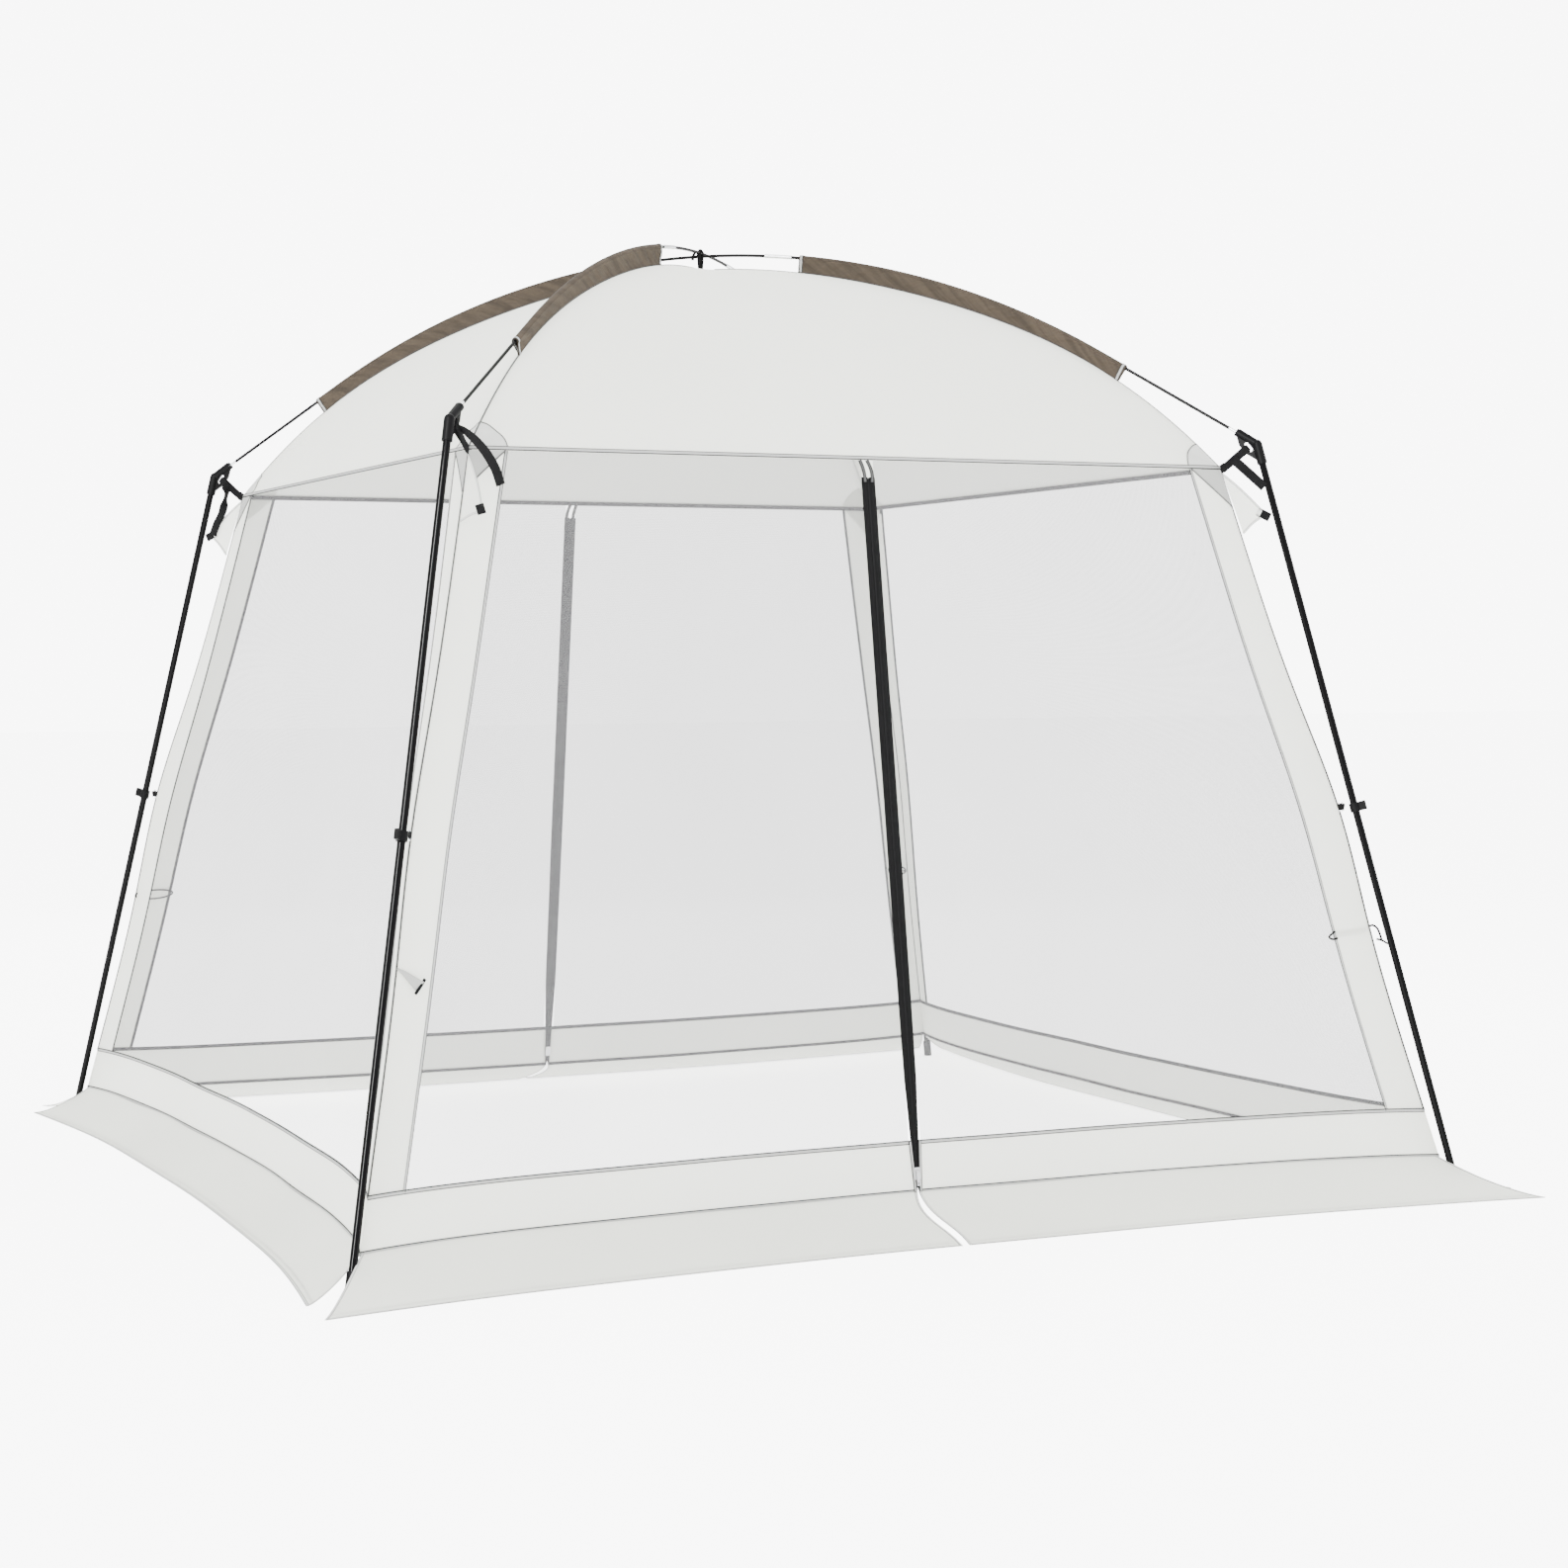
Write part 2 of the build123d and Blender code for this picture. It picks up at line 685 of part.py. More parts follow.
def guy_flap(angle):
    """The triangular gusset on a wall's corner, below the eave, that takes a guy line."""
    with BuildPart() as flap:
        with BuildSketch(side_plane(angle)):
            with BuildLine():
                Polyline(*GUY_FLAP, close=True)
            make_face()
        extrude(amount=CLOTH / 2, both=True)
    return flap.part


def door_tie(angle, side):
    """A short cloth tie on a corner panel, which holds an open door back."""
    across = side * (corner_half(TIE_Z) - WING / 2)
    with BuildPart() as tie:
        with BuildSketch(level_plane(angle, TIE_Z)):
            with Locations((corner_half(TIE_Z) + TIE_OUT, across)):
                Rectangle(TIE_SIZE[0], TIE_SIZE[1])
        extrude(amount=TIE_SIZE[2] / 2, both=True)
    return tie.part


def crown_tie():
    """The webbing loop that hangs the canopy's crown from the crossing of the poles."""
    low, high = CROWN_LOOP_Z
    window_low, window_high = CROWN_WINDOW_Z
    with BuildPart() as loop:
        with BuildSketch(Plane.XY.offset(low)):
            Rectangle(*CROWN_LOOP)
        extrude(amount=high - low)
        with BuildSketch(Plane.XY.offset(window_low)):
            Rectangle(CROWN_LOOP_WINDOW, CROWN_LOOP[1])
        extrude(amount=window_high - window_low, mode=Mode.SUBTRACT)
    return loop.part


for corner, corner_angle in CORNERS.items():
    save(hub(corner_angle), f"hub_{corner}")
    save(leg_upper(corner_angle), f"leg_upper_{corner}")
    save(leg_lower(corner_angle), f"leg_lower_{corner}")
    save(sleeve(corner_angle), f"pole_sleeve_{corner}")
    save(corner_panel(corner_angle), f"corner_panel_{corner}")

for pole in POLES:
    for place, part_name in enumerate(("inner", "outer", "end"), start=1):
        save(pole_pair(pole, place), f"roof_pole_{pole}_{part_name}_pair")

for wall, wall_angle in WALLS.items():
    save(canopy_gore(wall_angle), f"canopy_{wall}")

for wall in ("left", "right"):
    save(mesh_panel(WALLS[wall], 0), f"mesh_{wall}")
    save(lower_panel(WALLS[wall], 0), f"band_and_skirt_{wall}")

for door, (door_angle, door_side) in DOOR_HALVES.items():
    save(mesh_panel(door_angle, door_side), f"mesh_{door}")
    save(lower_panel(door_angle, door_side), f"band_and_skirt_{door}")
    save(zip_tape(door_angle, door_side), f"zip_tape_{door}")

for wall in ("front", "back"):
    save(zip_slider(WALLS[wall]), f"zip_slider_{wall}")
    save(zip_pull(WALLS[wall]), f"zip_pull_{wall}")

save(joined([foot_cap(corner_angle) for corner_angle in CORNERS.values()]), "foot_caps")
save(middle_sections(), "roof_pole_middles")
save(ferrules(), "pole_ferrules")
save(joined([pole_tip(corner_angle) for corner_angle in CORNERS.values()]), "pole_tips")
save(crown_tie(), "crown_tie")
save(joined([leg_clip(corner_angle) for corner_angle in CORNERS.values()]), "leg_clips")
save(joined([clip_strap(corner_angle) for corner_angle in CORNERS.values()]), "clip_straps")
save(joined([hub_strap(corner_angle) for corner_angle in CORNERS.values()]), "hub_straps")
save(joined([guy_flap(corner_angle) for corner_angle in CORNERS.values()]), "guy_flaps")
save(joined([door_tie(door_angle, side) for door_angle, side in DOOR_HALVES.values()]), "door_ties")
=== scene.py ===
import math

import bpy
import numpy as np
from mathutils import Matrix, Vector


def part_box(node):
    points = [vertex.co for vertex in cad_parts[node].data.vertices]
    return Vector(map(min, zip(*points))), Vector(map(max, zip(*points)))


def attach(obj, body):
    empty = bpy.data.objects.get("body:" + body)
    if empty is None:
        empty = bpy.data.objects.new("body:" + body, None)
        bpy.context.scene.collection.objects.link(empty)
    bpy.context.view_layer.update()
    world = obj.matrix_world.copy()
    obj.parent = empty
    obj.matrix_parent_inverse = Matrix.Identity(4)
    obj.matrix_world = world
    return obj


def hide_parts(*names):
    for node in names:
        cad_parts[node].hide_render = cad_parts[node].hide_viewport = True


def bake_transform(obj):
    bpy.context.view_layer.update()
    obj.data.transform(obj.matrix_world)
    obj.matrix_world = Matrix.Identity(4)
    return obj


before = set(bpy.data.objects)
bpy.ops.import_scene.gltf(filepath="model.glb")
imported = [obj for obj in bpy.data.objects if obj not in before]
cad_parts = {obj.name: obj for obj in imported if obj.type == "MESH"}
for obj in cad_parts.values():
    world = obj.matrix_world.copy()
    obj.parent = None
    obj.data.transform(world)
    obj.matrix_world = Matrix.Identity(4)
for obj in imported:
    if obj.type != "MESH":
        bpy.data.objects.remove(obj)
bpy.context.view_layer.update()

ROOT = "frame_and_walls"
UP = np.array([0.0, 0.0, 1.0])

# ---- dimensions, in metres
EAVE_HALF = 1.054
EAVE_Z = 1.905
WALL_TOP_Z = 1.899
BAND_Z = 0.204
SEAM_Z = 0.085
SPREAD = 0.2263
FRONT_BOW = 0.080
SIDE_BOW = 0.057
WING = 0.095
PROFILE = [(0, 2.506), (0.310, 2.457), (0.600, 2.335), (0.855, 2.148), (1.054, 1.905)]
ROOF_PATCH = (0.045, 0.098)
WALL_PATCH_FALL = 0.100
UNDER_EAVE_Z = 1.900
SKIRT_TOP_END = 1.458
SKIRT_FOOT_Z = 0.0025
CLIP_Z = 1.0
CLIP_PULL = 0.020
CLIP_TO_LEG = 0.0295
TAPE_INNER = 0.0007
TAPE_WIDEST = 0.0190
TAPE_TOP_Z = 1.856
COIL_ACROSS = 0.0011
TAIL_FOOT_Z = 1.844
DOOR_INNER = 0.0165
ZIP_FOOT_Z = 0.088
FOOT_HALF = 1.5
LEG_RIM_HALF = 1.135
LEG_RIM_Z = 1.912
POLE_MOUTH_R = 1.535
POLE_MOUTH_Z = 1.998
POLE_SLOPE = 0.60
SLEEVE_START = 0.300
SLEEVE_POCKET = 0.0078
HUB_HOLE = (1.568, 1.957)
STRAP_LINE = (0.774, 0.633)
STRAP_REACHES = (-0.092, -0.052, -0.0035)
STRAP_LAYER = 0.0011
STRAP_SPLIT = 0.0022
STRAP_HALF = 0.0058
WING_TAB_Z = 1.887
CROWN_TIE_Z = 2.549
CROWN_KNOT_Z = 2.5615
BINDING = 0.011
BINDING_THICKNESS = 0.0022
BACKDROP_SEEN = 8.5
BACKDROP_LIT = 2.3
FLOOR_SEEN = 6.0
FLOOR_LIT = 4.4

CORNERS = {"front_left": 225, "front_right": 315, "back_left": 135, "back_right": 45}
WALLS = {"front": 270, "back": 90, "left": 180, "right": 0}
DOOR_WALLS = (90, 270)
CROWNS = {225: 2.55375, 45: 2.55375, 135: 2.54425, 315: 2.54425}
DOORS = {"front_left": (270, -1), "front_right": (270, 1), "back_left": (90, 1), "back_right": (90, -1)}
SKIRT_FEET = {  # across at the foot, out at the corner, out in the middle
    "front": (1.615, 1.712, 1.605),
    "back": (1.560, 1.700, 1.605),
    "left": (1.560, 1.612, 1.520),
    "right": (1.560, 1.625, 1.520),
}


def heading(angle):
    """The unit direction of a wall or corner on the ground."""
    turned = math.radians(angle)
    return np.array([math.cos(turned), math.sin(turned), 0.0])


# ---- camera, light and floor
def place_camera():
    """A camera that looks slightly down at the front and left walls, as the photograph's did."""
    turns = ((-24.77, "Z"), (90 - 2.275, "X"), (-0.333, "Z"))
    azimuth, tilt, roll = (Matrix.Rotation(math.radians(turn), 4, axis) for turn, axis in turns)
    data = bpy.data.cameras.new("camera")
    data.lens = 67.91
    data.sensor_width = 36
    data.clip_end = 200
    camera = bpy.data.objects.new("camera", data)
    camera.matrix_world = Matrix.Translation((-3.3324, -7.7676, 1.3805)) @ azimuth @ tilt @ roll
    bpy.context.scene.collection.objects.link(camera)
    bpy.context.scene.camera = camera


def area_light(name, place, aim, size, watts):
    data = bpy.data.lights.new(name, "AREA")
    data.shape = "RECTANGLE"
    data.size, data.size_y = size
    data.energy = watts
    light = bpy.data.objects.new(name, data)
    light.location = place
    light.rotation_euler = (Vector(aim) - Vector(place)).to_track_quat("-Z", "Y").to_euler()
    bpy.context.scene.collection.objects.link(light)
    return light


def lights():
    """Soft studio light, and a card that only the glossy tubes reflect."""
    area_light("key_light", (-4.5, -6.5, 6.0), (0, 0, 1.2), (4.0, 4.0), 420)
    area_light("fill_light", (6.5, -3.0, 4.5), (0, 0, 1.2), (3.0, 5.0), 200)
    area_light("top_light", (0.5, 1.5, 8.0), (0, 0, 1.5), (6.0, 6.0), 420)
    area_light("back_light", (2.5, 8.0, 3.5), (0, 0, 1.2), (6.0, 3.0), 200)
    gleam = area_light("gleam_card", (-8.2, -6.5, 4.6), (0, 0, 1.0), (1.4, 5.0), 4200)
    gleam.visible_diffuse = False
    gleam.visible_camera = False


# ---- shader nodes
def new_material(name):
    made = bpy.data.materials.new(name)
    made.use_nodes = True
    made.node_tree.nodes.clear()
    return made, made.node_tree


def node(tree, kind, values=None, **settings):
    """Adds a shader node; values are links or numbers for its inputs."""
    made = tree.nodes.new("ShaderNode" + kind)
    for key, value in settings.items():
        setattr(made, key, value)
    for key, value in (values or {}).items():
        if isinstance(value, bpy.types.NodeSocket):
            tree.links.new(value, made.inputs[key])
        else:
            made.inputs[key].default_value = value
    return made


def maths(tree, operation, *values):
    return node(tree, "Math", dict(enumerate(values)), operation=operation).outputs[0]


def wave(tree, operation, value, rate):
    return maths(tree, operation, maths(tree, "MULTIPLY", value, rate))


def ramp(tree, value, low, high):
    """0 up to low, 1 from high, and even in between."""
    return node(tree, "MapRange", {"Value": value, "From Min": low, "From Max": high}, clamp=True).outputs[0]


def cloth_place(tree):
    """A piece's own coordinates on its surface: along it, and across it."""
    return node(tree, "SeparateXYZ", {0: node(tree, "UVMap").outputs[0]}).outputs


def object_place(tree):
    return node(tree, "TexCoord").outputs["Object"]


def tint(colour, factor=1.0):
    return tuple(min(1.0, c * factor) for c in colour) + (1,)


def noise(tree, coordinates, scale, detail=3.0, roughness=0.5):
    values = {"Vector": coordinates, "Scale": scale, "Detail": detail, "Roughness": roughness}
    return node(tree, "TexNoise", values).outputs["Fac"]


def mixed(tree, factor, first, second):
    return node(tree, "MixRGB", {"Fac": factor, "Color1": first, "Color2": second}).outputs[0]


def bump(tree, height, distance, strength=1.0, under=None):
    values = {"Height": height, "Distance": distance, "Strength": strength}
    if under is not None:
        values["Normal"] = under
    return node(tree, "Bump", values).outputs[0]


def surface(made, values, translucency=None):
    """Finishes a material with these values, and lets some light through when the cloth is thin."""
    tree = made.node_tree
    out = node(tree, "BsdfPrincipled", values).outputs[0]
    if translucency:
        through = node(tree, "BsdfTranslucent", {"Color": values["Base Color"], "Normal": values["Normal"]})
        out = node(tree, "MixShader", {0: translucency, 1: out, 2: through.outputs[0]}).outputs[0]
    node(tree, "OutputMaterial", {"Surface": out})
    return made


# ---- materials
def painted_fold_shade(tree, split, dye_and_fold_shade, colour, fold_shade):
    """Dark strokes that slant across a cloth along its folds: painted shade in the folds."""
    slant = maths(tree, "MULTIPLY_ADD", split[1], 1.5, split[0])
    skew = node(tree, "CombineXYZ", {
        0: maths(tree, "MULTIPLY", slant, 26.0),
        1: maths(tree, "MULTIPLY", split[1], 9.0),
    }).outputs[0]
    strokes = ramp(tree, noise(tree, skew, 1.0, 3.0, 0.6), 0.40, 0.64)
    return mixed(tree, maths(tree, "MULTIPLY", strokes, fold_shade), dye_and_fold_shade, tint(colour, 0.45))


def woven(name, colour, variation=0.04, translucency=0.3, wrinkle=0.005, sheen=0.15, fold_shade=0.0):
    """Plain-woven coated polyester: fine threads, faint soft creases and uneven dye, and painted shade in
    slanting folds when that is asked for.
    """
    made, tree = new_material(name)
    split = cloth_place(tree)
    place = object_place(tree)
    turns = 2 * math.pi / 0.0016
    crossing = maths(tree, "MULTIPLY", *(wave(tree, "SINE", split[axis], turns) for axis in (0, 1)))
    threads = maths(tree, "MULTIPLY_ADD", crossing, 0.5, 0.5)
    broad = noise(tree, place, 1.7, 2.0)
    fine = noise(tree, place, 60.0, 3.0, 0.6)
    dye_and_fold_shade = mixed(tree, broad, tint(colour, 1 - variation), tint(colour, 1 + variation))
    # painted shade: dark slanting strokes where the sleeve's cloth folds
    if fold_shade:
        dye_and_fold_shade = painted_fold_shade(tree, split, dye_and_fold_shade, colour, fold_shade)
    slubs_and_fold_shade = mixed(tree, maths(tree, "MULTIPLY", fine, 0.10), dye_and_fold_shade, tint(colour, 0.8))
    shaded = mixed(tree, maths(tree, "MULTIPLY", threads, 0.06), slubs_and_fold_shade, tint(colour, 0.6))
    creases = bump(tree, noise(tree, place, 7.0, 3.0, 0.55), wrinkle, 0.5)
    return surface(made, {
        "Base Color": shaded, "Roughness": 0.82, "Normal": bump(tree, threads, 0.00015, 0.6, creases),
        "Sheen Weight": sheen, "Sheen Roughness": 0.5, "Specular IOR Level": 0.15,
    }, translucency)


def net(name, colour, film, thread):
    """Fine knitted insect net: see-through between its threads."""
    made, tree = new_material(name)
    split = cloth_place(tree)
    lines = []
    for axis in (0, 1):
        swing = maths(tree, "ABSOLUTE", wave(tree, "COSINE", split[axis], math.pi / 0.0018))
        lines.append(maths(tree, "POWER", swing, 6.0))
    threads = maths(tree, "MAXIMUM", *lines)
    uneven = maths(tree, "MULTIPLY_ADD", noise(tree, object_place(tree), 2.2, 2.0), 0.05, film - 0.025)
    return surface(made, {
        "Base Color": mixed(tree, threads, tint(colour, 0.9), tint(colour, 1.05)),
        "Roughness": 0.9, "Alpha": maths(tree, "MULTIPLY_ADD", threads, thread, uneven),
        "Sheen Weight": 0.05, "Specular IOR Level": 0.05,
        "Normal": bump(tree, threads, 0.0003, 0.5),
    })


def binding_cloth(name, middle, edge):
    """Woven binding tape with a stitched line along each edge; v runs from -1 to 1 across it."""
    made, tree = new_material(name)
    split = cloth_place(tree)
    rib = wave(tree, "SINE", split[0], 2 * math.pi / 0.0012)
    reach = maths(tree, "ABSOLUTE", split[1])
    stitch = maths(tree, "GREATER_THAN", wave(tree, "SINE", split[0], 2 * math.pi / 0.004), -0.3)
    row = maths(tree, "LESS_THAN", maths(tree, "ABSOLUTE", maths(tree, "SUBTRACT", reach, 0.55)), 0.08)
    sewn = maths(tree, "MULTIPLY", stitch, row)
    base = mixed(tree, ramp(tree, reach, 0.36, 0.58), tint(middle), tint(edge))
    height = maths(tree, "MULTIPLY_ADD", sewn, 1.5, rib)
    return surface(made, {
        "Base Color": mixed(tree, maths(tree, "MULTIPLY", sewn, 0.6), base, tint(middle, 1.25)),
        "Roughness": 0.85, "Specular IOR Level": 0.05,
        "Sheen Weight": 0.02, "Normal": bump(tree, height, 0.0002, 0.7),
    })


def webbing_cloth(name, colour, rib=0.0024):
    """Ribbed nylon webbing with selvedges; v runs from -1 to 1 across it."""
    made, tree = new_material(name)
    split = cloth_place(tree)
    zigzag = maths(tree, "PINGPONG", maths(tree, "MULTIPLY", split[1], 2.0), 1.0)
    along = maths(tree, "ADD", split[0], maths(tree, "MULTIPLY", zigzag, 0.003))
    ribs = wave(tree, "SINE", along, 2 * math.pi / rib)
    # painted sheen: the ribs' crests are painted lighter, and a random dust mottle lightens them further
    rib_sheen = maths(tree, "MULTIPLY_ADD", ribs, 0.4, 0.5)
    dust_and_rib_sheen = maths(tree, "MULTIPLY", rib_sheen, noise(tree, object_place(tree), 40.0))
    return surface(made, {
        "Base Color": mixed(tree, dust_and_rib_sheen, tint(colour, 0.8), tint(colour, 2.6)),
        "Roughness": 0.75, "Specular IOR Level": 0.04,
        "Sheen Weight": 0.01, "Normal": bump(tree, ribs, 0.0004, 0.8),
    })


def coated(name, colour, rough, grain=900.0, depth=0.00005, metallic=0.0, scuffs=0.12, specular=0.2):
    """A hard finish with a fine grain, uneven gloss and light scuffs."""
    made, tree = new_material(name)
    place = object_place(tree)
    grains = noise(tree, place, grain, 2.0)
    worn = ramp(tree, noise(tree, place, 23.0, 6.0, 0.7), 0.60, 0.78)
    even = maths(tree, "MULTIPLY_ADD", grains, rough * 0.25, rough * 0.88)
    return surface(made, {
        "Base Color": mixed(tree, maths(tree, "MULTIPLY", worn, 0.5), tint(colour), tint(colour, 1.6)),
        "Roughness": maths(tree, "MULTIPLY_ADD", worn, scuffs, even),
        "Metallic": metallic, "Specular IOR Level": specular,
        "Normal": bump(tree, grains, depth, 0.6),
    })


OFF_WHITE = (0.80, 0.812, 0.755)
NET_GREY = (0.165, 0.165, 0.168)
MATERIALS = {
    "cloth": woven("off_white_polyester", OFF_WHITE, translucency=0.38),
    "canopy_cloth": woven("off_white_canopy_polyester", OFF_WHITE, translucency=0.52),
    # painted shade: the skirts' off-white is painted darker than the walls' cloth, for the shade they stand
    # in near the ground
    "shaded_skirt_cloth": woven(
        "off_white_skirt_polyester_painted_shade", (0.655, 0.667, 0.612), variation=0.06, translucency=0.20),
    # painted shade: the doubled cloth of the wall and roof patches is the off-white painted darker, for the
    # light that two layers hold back
    "patch": woven("off_white_double_layer_painted_shade", (0.34, 0.345, 0.33), translucency=0.08),
    "roof_patch_painted_shade": woven("off_white_roof_layer_painted_shade", (0.56, 0.57, 0.545), translucency=0.10),
    "net": net("insect_net", NET_GREY, film=0.34, thread=0.30),
    "side_net": net("side_insect_net", NET_GREY, film=0.28, thread=0.27),
    # the sleeves carry painted fold shade on top of their uneven dye
    "sleeve": woven(
        "brown_polyester", (0.050, 0.0375, 0.0255),
        variation=0.14, translucency=0.03, wrinkle=0.004, sheen=0.02, fold_shade=0.75),
    "binding": binding_cloth("grey_binding", (0.36, 0.365, 0.355), (0.028, 0.028, 0.028)),
    "thin_binding": binding_cloth("fine_grey_binding", (0.13, 0.13, 0.128), (0.060, 0.060, 0.058)),
    "inner_binding": binding_cloth("dark_inner_binding", (0.030, 0.030, 0.031), (0.018, 0.018, 0.018)),
    "dark_binding": binding_cloth("sleeve_binding", (0.17, 0.17, 0.168), (0.060, 0.057, 0.054)),
    "hem": binding_cloth("pale_hem", (0.66, 0.67, 0.64), (0.30, 0.30, 0.29)),
    "tail": binding_cloth("zip_tail_tape", (0.060, 0.060, 0.060), (0.014, 0.014, 0.014)),
    "webbing": webbing_cloth("black_webbing_ribbed", (0.0045, 0.0045, 0.0048)),
    "tape": webbing_cloth("zip_tape_woven", (0.0040, 0.0040, 0.0042), 0.0016),
    "coil": coated("nylon_coil", (0.0045, 0.0045, 0.0050), 0.50, specular=0.05),
    "moulding": coated(
        "black_nylon_moulding", (0.0040, 0.0040, 0.0043), 0.42, 500.0, 0.00006, specular=0.035),
    "steel_tube": coated(
        "black_powder_coat", (0.0018, 0.0018, 0.0020), 0.07, 1200.0, 0.000002,
        specular=0.06, scuffs=0.03),
    "fibreglass": coated(
        "black_fibreglass", (0.0035, 0.0035, 0.0035), 0.34, 700.0, 0.00004, specular=0.05),
    "silver": coated("bright_steel", (0.72, 0.73, 0.74), 0.24, 900.0, 0.00002, metallic=1.0),
    "zip_metal": coated("zip_nickel", (0.55, 0.55, 0.56), 0.30, 900.0, 0.00002, metallic=1.0),
}


def seen_or_lit(tree, seen, lit):
    """A strength for what the camera sees directly, and another for the light it gives."""
    direct = node(tree, "LightPath").outputs["Is Camera Ray"]
    return maths(tree, "MULTIPLY_ADD", direct, seen - lit, lit)


def floor_and_world():
    world = bpy.data.worlds.new("studio")
    world.use_nodes = True
    tree = world.node_tree
    backdrop = tree.nodes["Background"]
    backdrop.inputs["Color"].default_value = (1.0, 1.0, 1.0, 1)
    tree.links.new(seen_or_lit(tree, BACKDROP_SEEN, BACKDROP_LIT), backdrop.inputs["Strength"])
    bpy.context.scene.world = world
    made, tree = new_material("pale_floor")
    mottle = noise(tree, object_place(tree), 0.8)
    surface(made, {
        "Base Color": mixed(tree, mottle, (0.86, 0.86, 0.86, 1), (0.88, 0.88, 0.88, 1)),
        "Roughness": 0.9, "Specular IOR Level": 0.1,
        "Emission Color": (1, 1, 1, 1), "Emission Strength": seen_or_lit(tree, FLOOR_SEEN, FLOOR_LIT),
    })
    ends = (-60.0, 60.0)
    sheet_object("floor", np.array([[[x, y, 0.0] for x in ends] for y in ends]), made)


# ---- mesh builders
def build_object(name, points, faces, uv, material):
    data = bpy.data.meshes.new(name)
    data.from_pydata(np.asarray(points, float).tolist(), [], [list(map(int, f)) for f in faces])
    data.polygons.foreach_set("use_smooth", [True] * len(data.polygons))
    layer = data.uv_layers.new(name="cloth_uv")
    corners = np.zeros(len(data.loops), np.int32)
    data.loops.foreach_get("vertex_index", corners)
    layer.data.foreach_set("uv", np.asarray(uv, np.float32)[corners].ravel())
    data.materials.append(material)
    made = bpy.data.objects.new(name, data)
    bpy.context.scene.collection.objects.link(made)
    return made


def grid_faces(rows, columns, ring=False):
    """Quads between the points of a grid; ring joins the last column to the first."""
    faces = []
    for start in range(0, (rows - 1) * columns, columns):
        for c in range(columns if ring else columns - 1):
            after = (c + 1) % columns
            faces.append((start + c, start + after, start + columns + after, start + columns + c))
    return faces


def distances(points):
    """How far each point of a path, or of each column of a grid, is from its start."""
    steps = np.linalg.norm(np.diff(points, axis=0), axis=-1)
    return np.concatenate([np.zeros_like(steps[:1]), np.cumsum(steps, axis=0)])


def cloth_uv(grid):
    """How far along its row and its column each point of a grid is, in metres."""
    return np.stack([distances(grid.swapaxes(0, 1)).T, distances(grid)], axis=-1).reshape(-1, 2)


def sheet_object(name, grid, material):
    """A single-layer sheet from a grid of points."""
    return build_object(name, grid.reshape(-1, 3), grid_faces(*grid.shape[:2]), cloth_uv(grid), material)


def unit(vectors):
    return vectors / np.maximum(np.linalg.norm(vectors, axis=-1, keepdims=True), 1e-12)


def square_to(vectors, forward):
    """The part of each vector that is square to a path, as a unit vector."""
    vectors = np.broadcast_to(vectors, forward.shape)
    return unit(vectors - (vectors * forward).sum(1, keepdims=True) * forward)


def smooth_path(control, count):
    """A smooth line through control rows (any number of columns), as count rows."""
    control = np.asarray(control, float)
    padded = np.vstack([2 * control[0] - control[1], control, 2 * control[-1] - control[-2]])
    steps = distances(control[:, :3])
    at = np.interp(np.linspace(0, steps[-1], count), steps, np.arange(len(control)))
    i = np.minimum(at.astype(int), len(control) - 2)
    t = (at - i)[:, None]
    p0, p1, p2, p3 = (padded[i + k] for k in range(4))
    square, cube = 2 * p0 - 5 * p1 + 4 * p2 - p3, 3 * p1 - p0 - 3 * p2 + p3
    return 0.5 * (2 * p1 + (p2 - p0) * t + square * t**2 + cube * t**3)


STRIP_RING = [(-1, 0), (-0.86, 0.8), (-0.5, 1), (0, 1.06), (0.5, 1), (0.86, 0.8), (1, 0)]
STRIP_RING += [(0.86, -0.8), (0, -1.06), (-0.86, -0.8)]


